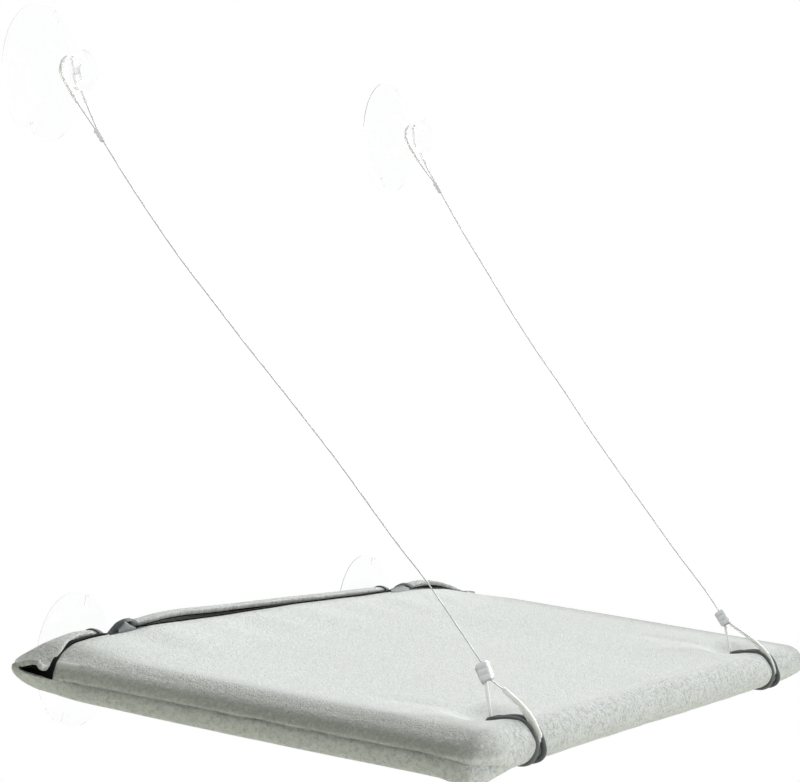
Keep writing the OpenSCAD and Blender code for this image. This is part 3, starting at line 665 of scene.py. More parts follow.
hook_strips = {}
for k, grid in flap_grids.items():
    inner = (grid - face_normals(grid) * (FLAP_FELT + 0.05))[1:-1, 2:-1]
    mid_column = np.abs(inner[1:, 0, 0] + inner[:-1, 0, 0])[:, None] / 2
    under = (np.arange(inner.shape[1] - 1)[None, :] >= 10) | (mid_column > 268)
    hook_strips[k] = bend(thicken(sewn("hook_band_" + k, [(inner, under, True)]), STRIP), k)

# %% [markdown]
# ## Woven bindings
# Cut felt frays, so its ends are bound with slate tape. On a flap's end the tape is a U that
# lies on the outside, goes round the cut and lies on the inside. At the slits it is thicker,
# like piping, and swept along the edge of the slit: up from the bottom, round the front roll,
# over the top to a point behind the cable, and back down the other lip.

# %% Tape on the flaps' ends
TAPE = 0.6


def end_tape(grid, at_start):
    """A U of tape round one end of a flap's grid: out along the face, round the end, back inside.
    Three more rows close it over the front edge."""
    rows = grid if at_start else grid[::-1]
    normal = face_normals(grid)
    normal = normal if at_start else normal[::-1]
    near, n = rows[0], normal[0]
    out = unit(near - rows[1])
    u = [rows[1] + normal[1] * 0.2, rows[1] * 0.6 + near * 0.4 + n * 0.5, near + n * 0.45,
        near + out * 1.5 + n * 0.1, near + out * 2.5 - n * 1.4, near + out * 1.7 - n * 3.0,
        near - n * (FLAP_FELT + 0.6), rows[1] - normal[1] * (FLAP_FELT + 0.55)]
    u = spline(np.stack(u, 1), 18)
    ahead = unit(near[-1] - near[-2])
    depth = ((u[-1] - near[-1]) @ n[-1] + FLAP_FELT / 2)[:, None] * n[-1]
    cap = np.stack([u[-1] - depth * c + ahead * s for c, s in ((0.12, 0.7), (0.55, 1.1), (1.0, 1.2))])
    u = np.concatenate([u, cap])
    return u if at_start else u[:, ::-1]


tape_ends = {"left": [False], "middle": [True, False], "right": [True]}
flap_tapes = {}
for k, ends in tape_ends.items():
    patches = [(end_tape(flap_grids[k], e), None, False) for e in ends]
    flap_tapes[k] = bend(thicken(sewn("flap_tape_" + k, patches), TAPE), k)


# %% Piping round the slits
def sweep(path, normal, wide, high, sides=14):
    """A tube along a path: an ellipse that stands on the surface's normal."""
    way = unit(np.gradient(path, axis=0))
    across = unit(np.cross(way, normal))
    stand = np.cross(across, way)
    turn = np.linspace(0, 2 * np.pi, sides + 1)
    flat = across[:, None] * (wide[:, None] * np.cos(turn))[..., None]
    return path[:, None] + flat + stand[:, None] * (high[:, None] * np.sin(turn))[..., None]


def close_ends(rings, far=1.0):
    """Adds two small rings and a point at each end of a swept tube. A dome reaches 0.62 of the
    tube's radius, times a factor, beyond the last ring."""
    parts = []
    for a, b in ((rings[0], rings[1]), (rings[-1], rings[-2])):
        centre = a[:-1].mean(0)
        step = unit(centre - b[:-1].mean(0))
        radius = np.linalg.norm(a[0] - centre)
        parts.append([centre + (a - centre) * c + step * radius * s * far
            for c, s in ((0.87, 0.3), (0.5, 0.55), (0.0, 0.62))])
    return np.concatenate([np.array(parts[0])[::-1], rings, np.array(parts[1])])


TAPE_RISE = 0.1


def slit_edge(centre):
    """The path of the piping: bottom, front roll, top, a pointed turn, and the same back. The
    lip on the room's right side stands off the roll in front, where the loop pulls it."""
    half = SLIT_HALF + 1.2
    turn = np.radians(np.linspace(-90, 90, 25))
    pulled = 12.1 - 0.6 * bell(turn, 0.5, 0.5)
    tight = pulled + 1.5 * bell(turn, -0.8, 0.5)
    loose = pulled + 3.4 * bell(turn, -0.42, 0.5)
    top = np.array([[y, 0] for y in (-277, -274, -271, -268, -265.5)], float)
    top[:, 1] = top_height(centre, top[:, 0]) + TAPE_RISE
    stand = np.concatenate([[[0, -1]] * 2, np.stack([-np.cos(turn), np.sin(turn)], -1), [[0, 1]] * 5])
    lips = []
    for side_x, deep in ((-half, tight), (half, loose)):
        bottom = np.array([[-272.5, -deep[0]], [-276.5, -deep[0]]])
        roll = np.stack([FRONT - deep * np.cos(turn), deep * np.sin(turn)], -1)
        lip = np.concatenate([bottom, roll[:-1], [[FRONT, top[0, 1]]], top])
        closed = ease((6 - lip[:, 1]) / 8) * (lip[:, 0] < FRONT)
        pinch = 1 - 0.25 * ease((lip[:, 0] + 275) / 10) * (stand[:, 1] > 0.5)
        lips.append(np.column_stack([side_x * (pinch - 0.3 * closed), lip]))
    tau = np.radians(np.linspace(18, 162, 9))
    tip = np.column_stack([-half * 0.76 * np.cos(tau), -265.5 + 4.6 * np.sin(tau) ** 0.8, 0 * tau])
    tip[:, 2] = top_height(centre, tip[:, 1]) + TAPE_RISE
    path = np.concatenate([lips[0], tip, lips[1][::-1]])
    stand = np.concatenate([stand, [[0, 1]] * len(tau), stand[::-1]])
    normal = np.column_stack([np.zeros(len(path)), stand])
    path[:, 0] += centre
    return path, normal


slit_tapes = {}
for name, x in (("left", -SLIT_X), ("right", SLIT_X)):
    path, normal = slit_edge(x)
    path, normal = spline(path, 190), unit(spline(normal, 190))
    wide = 1.8 + 1.3 * ease((6 - path[:, 2]) / 8) * (path[:, 1] < FRONT) * (path[:, 0] < x)
    high = 1.7 + 0.9 * ease((path[:, 1] + 269) / 4)
    rings = close_ends(sweep(path, normal, wide, high))
    slit_tapes[name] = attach(sewn("slit_tape_" + name, [(rings, None, False)]), "platform")

# %% [markdown]
# At each notch the tape does two things. It lines the panel's cut edge, and at the end of the flap it runs on
# as a loose loop that arches down over the tube's eye. The loop shows as a dark bow with a paler folded
# corner inside it, so it is made of two small ribbons.

# %% Tape at the notches
arch_shapes = {
    "left": {
        "bow": [[[-198.8, 8.5, 13.4], [-197.0, 8.5, 14.9], [-195.0, 8, 17.1], [-192.1, 7, 20.0],
                 [-189.8, 5.5, 21.7], [-187.3, 4, 22.8], [-183.0, 3, 23.1]],
                [[-202.0, 4.5, 13.9], [-199.4, 4, 14.3], [-197.1, 3, 15.1], [-195.3, 2, 17.3],
                 [-193.7, 1, 20.2], [-191.0, 0, 21.9], [-185.2, 0, 21.7]]],
        "fold": [[[-205.8, -4, 17.8], [-201.2, -3, 20.2], [-196.8, -2, 22.6], [-195.9, -2, 22.7],
                  [-191.9, -3, 20.5], [-187.0, -4, 18.5]],
                 [[-208.3, -5.5, 17.5], [-204.8, -5.5, 17.2], [-201.8, -5.5, 17.1], [-200.1, -5.5, 17.0],
                  [-194.6, -5.5, 17.3], [-188.6, -5.5, 17.7]]],
        "edge": [[[-203.7, 0, 18.1], [-200.4, -0.5, 19.2], [-196.9, -1, 20.7]],
                 [[-203.0, 0, 17.4], [-199.7, -0.5, 18.4], [-196.2, -1, 19.9]]]},
    "right": {
        "bow": [[[185.6, 8, 13.1], [192.0, 7.5, 13.9], [196.5, 6.5, 15.1], [202.7, 5.5, 16.3],
                 [209.1, 4.5, 17.3], [215.0, 3.5, 17.8]],
                [[184.0, 6, 12.6], [188.9, 5, 13.2], [193.5, 4, 13.9], [199.8, 3, 14.7],
                 [205.2, 1.5, 15.5], [211.8, 0.5, 15.6]]],
        "fold": [[[171.8, -4, 17.1], [178.2, -4, 18.2], [186.6, -4, 18.4], [193.4, -4, 18.2],
                  [199.5, -5, 16.9]],
                 [[160.8, -9.5, 17.2], [166.5, -10.5, 16.8], [173.1, -11, 16.4], [180.9, -10.5, 16.3],
                  [191.4, -9.5, 16.4]]],
        "edge": [[[176.0, -4.6, 18.2], [184.0, -5, 18.3], [192.0, -5.2, 17.9]],
                 [[175.0, -5.6, 17.6], [183.0, -6, 17.7], [191.0, -6.2, 17.3]]]}}
bow_bends = {"left": ("middle_flap", [-196, 5, 15], [-184.5, 5, 15]),
    "right": ("right_flap", [187, 5, 15], [210, 5, 15])}


def ribbon(edges, n=30, m=6):
    """A ribbon between two curves, bowed out a little between them."""
    rows = spline(np.array(edges, float), n)
    t = np.linspace(0, 1, m)[None, :, None]
    grid = rows[0][:, None] * (1 - t) + rows[1][:, None] * t
    return grid + np.array([0, 0, 0.5]) * (4 * t * (1 - t))


def notch_lining(x0, x1):
    """Tape along the panel's cut edge: from just over the edge, down its face and under it."""
    x = spaced([x0, x1], 3.0)
    z = top_height(x, NOTCH_FRONT)
    offsets = np.array([[-0.9, 0.12], [-0.2, 0.15], [0.25, -0.3], [0.35, -1.4], [0.25, -2.7], [-0.3, -3.1],
        [-4.5, -3.15]])
    return stack(x[:, None], NOTCH_FRONT + offsets[None, :, 0], z[:, None] + offsets[None, :, 1])


notch_tapes, notch_folds, notch_bows = {}, {}, {}
for (name, shape), (x0, x1) in zip(arch_shapes.items(), NOTCHES):
    flap, start, end = bow_bends[name]
    bow = sheet_of("notch_bow_" + name, ribbon(shape["bow"]), TAPE)
    notch_bows[name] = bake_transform(bow)
    notch_tapes[name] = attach(sheet_of("notch_tape_" + name, notch_lining(x0, x1), TAPE), "platform")
    folded = [(ribbon(shape["fold"], 40, 8), None, False), (ribbon(shape["edge"], 14, 3), None, False)]
    notch_folds[name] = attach(thicken(sewn("notch_fold_" + name, folded), TAPE), "platform")

# %% [markdown]
# ## Cables
# Each cable is a thin steel rope. It hangs nearly straight, with the slight bow that the stiff wire keeps
# from its packing. Twisted wire is a tube whose section has six lobes and turns as it runs, which catches the
# light in the same slanting lines as the real rope. The ends are hidden in the crimp above and in the ferrule
# below.

# %% Twisted wire
CABLE_R = 0.43
PITCH = 7.0
LOBE_DEPTH = 0.11
ROPE_SIDES = 18


def run_along(path):
    """The length of the way from a path's start to each of its points."""
    return np.concatenate([[0], np.cumsum(np.linalg.norm(np.diff(path, axis=0), axis=1))])


def swept(path, radius, hint, sides):
    """Rings round a path. Each is a circle in the two directions square to the path, of which
    the first is also square to the hint."""
    way = unit(np.gradient(path, axis=0))
    u = unit(np.cross(way, hint))
    v = np.cross(way, u)
    turn = np.linspace(0, 2 * np.pi, sides + 1)[None, :, None]
    return path[:, None] + (u[:, None] * np.cos(turn) + v[:, None] * np.sin(turn)) * radius[..., None]


def rope(path):
    """A wire rope along a path: the section's radius rises and falls six times round, and the
    section turns once in each pitch. Eight rings to each ten millimetres."""
    run = run_along(path)
    at = np.linspace(0, run[-1], max(12, int(run[-1] * 0.8)))
    line = np.stack([np.interp(at, run, path[:, k]) for k in range(3)], -1)
    turn = np.linspace(0, 2 * np.pi, ROPE_SIDES + 1)
    wave = np.cos(6 * (turn[None, :] - 2 * np.pi * at[:, None] / PITCH))
    radius = CABLE_R * (1 - LOBE_DEPTH * (0.5 - 0.5 * wave))
    return swept(line, radius, [1.0, 0.15, 0.0], ROPE_SIDES)


def tube(path, radius, sides=20):
    """A smooth round tube along a path, with a radius for each point."""
    return swept(path, np.broadcast_to(radius, (len(path),))[:, None], [1.0, 0.0, 0.0], sides)


def capped(name, parts):
    """One object from several swept tubes, each with rounded ends, given in frame millimetres."""
    points, faces = weld([(close_ends(p), None, True) for p in parts])
    return put_mesh(name, points * MM, faces)


UPPER = {"left": np.array([-234.5, 0, 364.0]), "right": np.array([240.8, 0, 364.0])}
CRIMP_AT = {"left": [2.1, -42, -42], "right": [-3, -45.5, -42.5]}
CRIMP_TO = {"left": [1.75, -38.7, -37], "right": [-2.7, -42.2, -37.5]}
BOW = {"left": [[0, 0], [0.08, 3], [0.16, 4.9], [0.24, 5.7], [0.32, 4.6], [0.4, 3.5], [0.475, 1.6],
           [0.55, 0], [0.63, -1.3], [0.7, -1.3], [0.78, -1.3], [0.85, -2.6], [0.92, -1.6], [1, 0]],
       "right": [[0, 0], [0.1, 3.4], [0.2, 5.3], [0.3, 7.2], [0.395, 7.8], [0.49, 6.9], [0.585, 7],
           [0.68, 5.9], [0.77, 4.3], [0.86, 2.8], [0.95, 0], [1, 0]]}
FERRULE_AT = {"left": np.array([23.6, 31]), "right": np.array([26.7, 28.7])}
LEAN = {"left": math.radians(28), "right": math.radians(40)}
FERRULE = (8.0, 5.5, 10.5)
SIDE = {"left": -SLIT_X, "right": SLIT_X}


def at_front(k, p):
    """A place near a slit, from the front tube's axis, in frame millimetres."""
    p = np.asarray(p, float)
    return in_frame(stack(SIDE[k], FRONT + p[..., 0], p[..., 1])) / MM


def leaning(k):
    """The ferrule's axis and the direction across it, in the plane of its slit."""
    s, c = math.sin(LEAN[k]), math.cos(LEAN[k])
    return np.array([s, c]), np.array([c, -s])


cables = {}
for k in ("left", "right"):
    axis, _ = leaning(k)
    top = at_front(k, FERRULE_AT[k] + FERRULE[2] * axis)
    inside = at_front(k, FERRULE_AT[k] + (FERRULE[2] - 2) * axis)
    at = UPPER[k] + CRIMP_AT[k]
    into = UPPER[k] + CRIMP_TO[k] - at
    share = np.array(BOW[k])
    line = at + (top - at) * share[:, :1]
    line[:, 1] += share[:, 1]
    line = np.concatenate([[at + into * 0.5], spline(line, 200), [inside]])
    cables[k] = capped("cable_rope_" + k, [rope(line)])
    way = unit(top - at)
    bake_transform(cables[k])
    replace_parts(cables[k], "cable_" + k)
    print("cable", k, "length", round(float(run_along(line)[-1]), 1), "mm")

# %% [markdown]
# At the top each rope runs round the cup's neck and back to itself, where a small round crimp
# holds it. At the bottom it runs through a flattened ferrule, down in front of the tube, round
# under it and up again behind it. Clear sleeves keep the wire from sawing the felt: a wide one
# on the front strand, a narrow one on the rear strand.

# %% Upper loops and crimps
NECK_H = 19.5
NECK_LOOP_R = 8.5


def upper_loop(k):
    """The upper loop's route, from the crimp, round the neck and back."""
    c, end = UPPER[k], UPPER[k] + CRIMP_TO[k]
    turn = np.radians(np.linspace(-14, 194, 15))
    ring = c + stack(NECK_LOOP_R * np.cos(turn), -NECK_H, NECK_LOOP_R * np.sin(turn))
    a = [end + [0.75, 1.0, -1.5], end + [0.9, 0, 0], c + [4.6, -31.5, -24.5], c + [7.2, -24.5, -12]]
    b = [c + [-7.0, -24.5, -12], c + [-3.4, -31.5, -24.5], end + [-0.9, 0, 0], end + [-0.75, 1.0, -1.5]]
    return spline(np.concatenate([a, ring, b]), 150)


upper_loops, upper_crimps, upper_sleeves = {}, {}, {}
for k in ("left", "right"):
    route = upper_loop(k)
    upper_loops[k] = capped("upper_loop_rope_" + k, [rope(route)])
    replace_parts(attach(upper_loops[k], "window_side"), "upper_loop_" + k)
    sleeve = route[16:-16]
    upper_sleeves[k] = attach(capped("upper_sleeve_" + k, [tube(sleeve, 1.05)]), "window_side")
    a, b = UPPER[k] + CRIMP_AT[k], UPPER[k] + CRIMP_TO[k]
    way = unit(b - a)
    s = np.linspace(0, 1, 25)
    swell = 1.75 - 0.35 * bell(s, 0.28, 0.09) - 0.35 * bell(s, 0.72, 0.09)
    line = (a - way * 1.2) + (b - a + way * 1.6) * s[:, None]
    upper_crimps[k] = capped("upper_crimp_sleeve_" + k, [tube(line, swell)])
    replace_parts(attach(upper_crimps[k], "window_side"), "upper_crimp_" + k)


# %% Lower loops, sleeves and ferrules
WRAP_R = 12.5
INNER_R = 10.4
STRAND = {"left": [[12.9, 27.2], [2.0, 20.4], [-5.0, 14.1], [-10.9, 6.0]],
          "right": [[13.9, 24.3], [1.8, 17.5], [-6.6, 10.3], [-11.4, 2.4]]}
FOOT = {"left": [18.9, 9.3], "right": [22.1, 10.6]}
SLEEVE = {"left": (11.5, 50, 1.6, 0.7, 1.3), "right": (3.5, 53, 1.2, 0.8, 0.6)}


def lower_loop(k):
    """The lower loop's route in the plane of its slit: down the front strand, round under the
    tube, in through the slit, and up the rear strand."""
    at = FERRULE_AT[k]
    up, side = leaning(k)
    front, rear = at - 1.6 * side, at + 1.4 * side
    y, z = STRAND[k][-1]
    a = np.radians(np.linspace(math.degrees(math.atan2(z, y)) + 14, 262, 8))
    b = np.radians([280, 300, 320, 340])
    outer, inner = (r * np.stack([np.cos(v), np.sin(v)], -1) for r, v in ((WRAP_R, a), (INNER_R, b)))
    strand = [front + 2.5 * up, front] + STRAND[k]
    back = [[15.4, 2.6], FOOT[k], rear, rear + 2.5 * up]
    return spline(np.concatenate([strand, outer, inner, back]), 160)


def squared(w, power=0.35):
    """A sine or cosine drawn out towards a square: its size to a power below 1."""
    return np.sign(w) * np.abs(w) ** power


def ferrule_shape(k):
    """A pressed ferrule: rounded rectangles along its axis, with two shallow press marks."""
    up, side = leaning(k)
    s = np.concatenate([[0, 0.01, 0.04], np.linspace(0.08, 0.92, 25), [0.96, 0.99, 1]])
    end = 1 - 0.16 * bell(s, 0, 0.03) - 0.16 * bell(s, 1, 0.03)
    press = 1 - 0.13 * bell(s, 0.33, 0.07) - 0.13 * bell(s, 0.67, 0.07)
    turn = np.linspace(0, 2 * np.pi, 33)
    wide = FERRULE[0] / 2 * end[:, None] * squared(np.cos(turn), 0.5)
    thick = FERRULE[1] / 2 * (end * press)[:, None] * squared(np.sin(turn), 0.55)
    place = FERRULE_AT[k] + FERRULE[2] * s[:, None] * up
    yz = place[:, None] + wide[..., None] * side
    return in_frame(stack(SIDE[k] + thick, FRONT + yz[..., 0], yz[..., 1])) / MM


lower_loops, ferrules, front_sleeves, rear_sleeves = {}, {}, {}, {}
for k in ("left", "right"):
    route = lower_loop(k)
    line = at_front(k, route)
    at = FERRULE_AT[k]
    up, side = leaning(k)
    tail = at_front(k, spline([at + 2.4 * side - 1.6 * up, at + 3.9 * side - 0.4 * up,
        at + 4.5 * side + 4 * up, at + 4.9 * side + 9 * up], 12))
    lower_loops[k] = capped("lower_loop_rope_" + k, [rope(line)] + [rope(tail)] * (k == "left"))
    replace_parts(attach(lower_loops[k], "platform"), "lower_loop_" + k)
    run = run_along(line)
    begin, end, narrow, more, less = SLEEVE[k]
    from_front = (run > begin) & (run < end)
    share = np.linspace(0, 1, int(from_front.sum()))
    width = narrow + more * ease(share / 0.6) - less * ease((share - 0.7) / 0.25)
    front_sleeves[k] = capped("front_sleeve_tube_" + k, [tube(line[from_front], width, 24)])
    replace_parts(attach(front_sleeves[k], "platform"), "front_sleeve_" + k)
    from_back = (run > run[-1] - 31) & (run < run[-1] - 3)
    rear_sleeves[k] = capped("rear_sleeve_tube_" + k, [tube(line[from_back], 1.1, 18)])
    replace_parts(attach(rear_sleeves[k], "platform"), "rear_sleeve_" + k)
    points, faces = weld([(close_ends(ferrule_shape(k), 0.3), None, False)])
    ferrules[k] = put_mesh("ferrule_block_" + k, points * MM, faces)
    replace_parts(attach(ferrules[k], "platform"), "ferrule_" + k)
    print("lower loop", k, "length", round(float(run[-1]), 1), "mm")

# %% [markdown]
# ## Suction cups
# A cup is turned from one clear plastic: a thin hollow disc with a bead at its rim, a boss, and
# then a neck and a mushroom head on an upper cup, or a socket on a lower one. Such a body is a
# profile spun about the cup's axis, worked out here as radius and height above the glass. The
# lower boss is narrower, to leave room for the folded flaps. Two small pull tabs stand at the rim.

# %% Turned cups
def lathe(profile, centre, sides=96):
    """A profile of (radius, height) spun about an axis that points from the glass to the room."""
    turn = np.linspace(0, 2 * np.pi, sides + 1)
    r, h = profile[:, 0][:, None], profile[:, 1][:, None]
    return np.asarray(centre, float) + stack(r * np.cos(turn), -h + 0 * turn, r * np.sin(turn))


disc_under = [[0, 1.4], [14, 1.36], [26, 1.1], [34, 0.6], [38, 0.1], [40.2, 0.0], [42.1, 0.0]]
disc_over = [[42.5, 0.35], [42.5, 0.9], [42.1, 1.25], [41.2, 1.3], [40.4, 1.15], [36, 1.5], [30, 2.1],
    [24, 2.7], [19, 3.3]]
high_boss = [[16.2, 4.2], [14.4, 6.2], [13.2, 9], [12.2, 11.8], [11.4, 13]]
low_boss = [[15.6, 4.0], [12.8, 5.4], [11.0, 7.2], [9.4, 8.8], [8.0, 10.6], [7.7, 12.2], [7.2, 12.9]]
mushroom = [[9.4, 13.8], [8.0, 14.6], [7.5, 15.8], [7.5, 22.6], [7.9, 23.7], [9.2, 24.1], [11.2, 24.3],
    [12.2, 25.0], [12.5, 26.4], [12.5, 31.8], [12.1, 33.2], [11, 33.9], [9, 34], [7.4, 33.7], [6.6, 32.8],
    [6.2, 31.6], [5, 31.1], [0, 31]]
socket = [[6.4, 13.1], [5.4, 13.2], [4.5, 13.2], [4.3, 13.0], [4.25, 12.4], [4.25, 4.2], [4.0, 3.1], [0, 3.0]]


def tab(centre, angle):
    """A small pull tab: a rounded slab that stands on the disc just inside its rim."""
    u, v = np.linspace(0, np.pi, 9), np.linspace(0, 2 * np.pi, 25)
    x = 2.6 * squared(np.sin(u))[:, None] * squared(np.cos(v))
    y = 3.4 * squared(np.sin(u))[:, None] * squared(np.sin(v))
    z = 0.9 * squared(np.cos(u))[:, None] + 1.75
    r = 38.0 + y
    c, s = math.cos(angle), math.sin(angle)
    return np.asarray(centre, float) + stack(r * c - x * s, -z, r * s + x * c)


cups = {}
cup_places = {"upper_left": UPPER["left"], "upper_right": UPPER["right"],
    "lower_left": np.array([-199.0, 0, 0]), "lower_right": np.array([199.0, 0, 0])}
for k, centre in cup_places.items():
    above = high_boss + mushroom if "upper" in k else low_boss + socket
    outline = np.array(disc_under + disc_over + above, float)
    shape = lathe(spline(outline, 150), centre)
    tabs = [(tab(centre, math.radians(a)), None, True) for a in (70, 250)]
    points, faces = weld([(shape, None, True)] + tabs)
    cups[k] = put_mesh("cup_" + k + "_clear", points * MM, faces)
    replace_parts(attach(cups[k], "window_side"), "cup_" + k)
print("cups:", sorted(cups))

# %% [markdown]
# ## Finishes
# Every finish is made from shader nodes. A small helper class keeps the node code short: it adds
# a node, sets or links its inputs, and returns the output that the next node reads.

# %% Node helper
def add_node(tree, kind, inputs=(), output=0, **settings):
    """Adds a shader node and gives one of its outputs. Inputs are (socket, value or output)."""
    node = tree.nodes.new("ShaderNode" + kind)
    for key, value in settings.items():
        setattr(node, key, value)
    for socket, value in inputs:
        if isinstance(value, bpy.types.NodeSocket):
            tree.links.new(value, node.inputs[socket])
        else:
            node.inputs[socket].default_value = value
    return node.outputs[output]


def shade(colour, k):
    """A colour times a factor, no brighter than white."""
    return tuple(min(1.0, c * k) for c in colour)


class Finish:
    """A material with one Principled shader and a few ways to add nodes to it."""

    def __init__(self, name, **values):
        self.material = bpy.data.materials.new(name)
        self.material.use_nodes = True
        self.tree = self.material.node_tree
        self.shader = self.tree.nodes["Principled BSDF"]
        for key, value in values.items():
            self.shader.inputs[key.replace("_", " ")].default_value = value

    def add(self, kind, inputs=(), output=0, **settings):
        """Adds a node to this material."""
        return add_node(self.tree, kind, inputs, output, **settings)

    def rest(self, scale=(1, 1, 1), turn=(0, 0, 0)):
        """The resting place of the cloth, stretched and turned."""
        place = self.add("Attribute", output="Vector", attribute_name="rest")
        return self.add("Mapping", [("Vector", place), ("Rotation", turn), ("Scale", scale)])

    def own(self, scale=(1, 1, 1)):
        """The object's own coordinates."""
        place = self.add("TexCoord", output="Object")
        return self.add("Mapping", [("Vector", place), ("Scale", scale)])

    def noise(self, place, scale, detail=4.0, roughness=0.6, distortion=0.0):
        """A noise between 0 and 1."""
        return self.add("TexNoise", [("Vector", place), ("Scale", scale), ("Detail", detail),
            ("Roughness", roughness), ("Distortion", distortion)], output="Fac")

    def ramp(self, value, *stops):
        """A colour ramp through (place, grey or colour) stops."""
        out = self.add("ValToRGB", [("Fac", value)])
        ramp = out.node.color_ramp
        while len(ramp.elements) < len(stops):
            ramp.elements.new(0.5)
        for element, (place, colour) in zip(ramp.elements, stops):
            element.position = place
            element.color = (*([colour] * 3 if isinstance(colour, (int, float)) else colour), 1)
        return out

    def steps(self, value, low, high):
        """A ramp from black at one value to white at another."""
        return self.ramp(value, (low, 0.0), (high, 1.0))

    def smooth(self, value, low, high):
        """Rises softly from 0 at one value to 1 at another."""
        return self.add("MapRange", [("Value", value), ("From Min", low), ("From Max", high)],
            interpolation_type="SMOOTHSTEP")

    def mix(self, share, a, b):
        """Two colours mixed by a share."""
        a, b = (c if isinstance(c, bpy.types.NodeSocket) else (*c, 1) for c in (a, b))
        return self.add("Mix", [(0, share), (6, a), (7, b)], output=2, data_type="RGBA")

    def math(self, operation, a, b=0.5):
        """One sum, product or other step on numbers."""
        return self.add("Math", [(0, a), (1, b)], operation=operation)

    def times(self, first, *others):
        """The product of several values."""
        for value in others:
            first = self.math("MULTIPLY", first, value)
        return first

    def link(self, output, socket):
        """Joins an output to the material's shader."""
        self.tree.links.new(output, self.shader.inputs[socket])

    def mottle(self, value, colour, k):
        """A base colour that is darker by a factor where the value is low."""
        self.link(self.ramp(value, (0.3, shade(colour, k)), (0.7, colour)), "Base Color")

    def bump(self, height, distance, strength=1.0):
        """Relief: the height in metres is the distance where the value is 1."""
        relief = [("Height", height), ("Distance", distance), ("Strength", strength)]
        self.link(self.add("Bump", relief), "Normal")


# %% [markdown]
# The felt is a grey mélange: pale wool with a share of dark fibres. From a step away it reads as
# one grey, and near by as fine speckles and short fibres that lie in all directions. So the
# colour mixes three things: soft blotches some 6 mm wide, a fine grain under a millimetre, and
# short dark and light fibres. The fibres are noise that is stretched and turned, taken in three
# directions. The same values raise the surface, and a little sheen gives the fuzz at the edges.

# %% Felt
def felt_finish(name, light, dark):
    """Mélange felt between two colours. Where it is bent round the side and front tubes the felt is darkened,
    which is painted shade. The flecks also show more there, partly the felt's own speckle and partly painted
    shade. The share of the roll scales both. The side rolls get more painted shade above the seam, and more
    so towards the front."""
    f = Finish(name, Roughness=0.96, Specular_IOR_Level=0.12, Sheen_Weight=0.1, Sheen_Roughness=0.6)
    plain = f.rest()
    place = f.add("SeparateXYZ", [("Vector", plain)]).node.outputs
    aside = f.math("ABSOLUTE", place["X"])
    out_x = f.math("SUBTRACT", aside, 0.264)
    out_y = f.math("SUBTRACT", -0.308, place["Y"])
    rear = f.math("ADD", place["Y"], 0.05)
    # Where the felt rolls round a tube: this mask paints shade on the roll and scales the flecks and relief.
    bent = f.smooth(f.math("MAXIMUM", f.math("MAXIMUM", out_x, out_y), rear), 0.0, 0.012)
    # Masks for painted shade on the side rolls: above the seam, and stronger towards the front.
    up_panel = [(0, plain), (1, (0, -0.1184, 0.993))]
    above = f.smooth(f.add("VectorMath", up_panel, output="Value", operation="DOT_PRODUCT"), 0.0057, 0.0087)
    ahead = f.add("MapRange", [("Value", place["Y"]), ("From Min", -0.06), ("From Max", -0.2),
        ("To Min", 0.45), ("To Max", 0.95)])
    blotch = f.steps(f.noise(plain, 150, 3, 0.55), 0.32, 0.68)
    grain = f.steps(f.noise(plain, 1100, 3, 0.7), 0.3, 0.7)
    fleck = f.steps(f.noise(plain, 370, 3, 0.68, 0.6), 0.47, 0.66)
    pale = f.steps(f.noise(f.rest(turn=(0.4, 0.9, 0.2)), 480, 3, 0.68, 0.6), 0.5, 0.66)
    fibres = 0.0
    for turn, seed in (((0.3, 0.2, 0.5), 1.0), ((1.2, 0.7, 1.7), 1.3), ((0.1, 1.4, 2.6), 0.85)):
        streak = f.noise(f.rest((260 * seed, 1500, 1500), turn), 1.0, 2, 0.5, 0.8)
        fibres = f.math("MAXIMUM", fibres, streak)
    dark_fibre = f.steps(fibres, 0.62, 0.69)
    # Stronger flecks on the rolls: partly the felt's own speckle, partly painted shade.
    more = f.add("Math", [(0, bent), (1, 0.66), (2, 0.34)], operation="MULTIPLY_ADD")
    colour = f.mix(f.times(blotch, 0.3), light, dark)
    # Painted shade on the rolls round the tubes.
    colour = f.mix(f.times(bent, 0.22), colour, dark)
    # Painted shade on the upper half of the side rolls, more towards the front.
    colour = f.mix(f.times(f.smooth(aside, 0.247, 0.275), above, ahead), colour, shade(dark, 0.8))
    for mask, share, tone in ((grain, 0.22, dark), (fleck, 0.72, shade(dark, 0.7)),
            (pale, 0.5, shade(light, 1.13)), (dark_fibre, 0.35, shade(dark, 0.45))):
        colour = f.mix(f.times(mask, share, more), colour, tone)
    f.link(colour, "Base Color")
    height = f.math("ADD", f.times(grain, 0.3), f.times(pale, 0.7))
    height = f.math("SUBTRACT", height, f.times(fleck, 0.7))
    f.bump(f.times(height, more), 0.0008, 0.7)
    return f.material


felt = felt_finish("light_grey_felt", (0.765, 0.785, 0.81), (0.60, 0.617, 0.63))
print("felt:", felt.name)

# %% [markdown]
# The tape is a tight twill of slate yarn: fine slanting ribs under a millimetre apart, crossed by
# the yarn's own twist. The hook and loop bands are near black, with hooks in rows on one and a
# matted pile on the other.

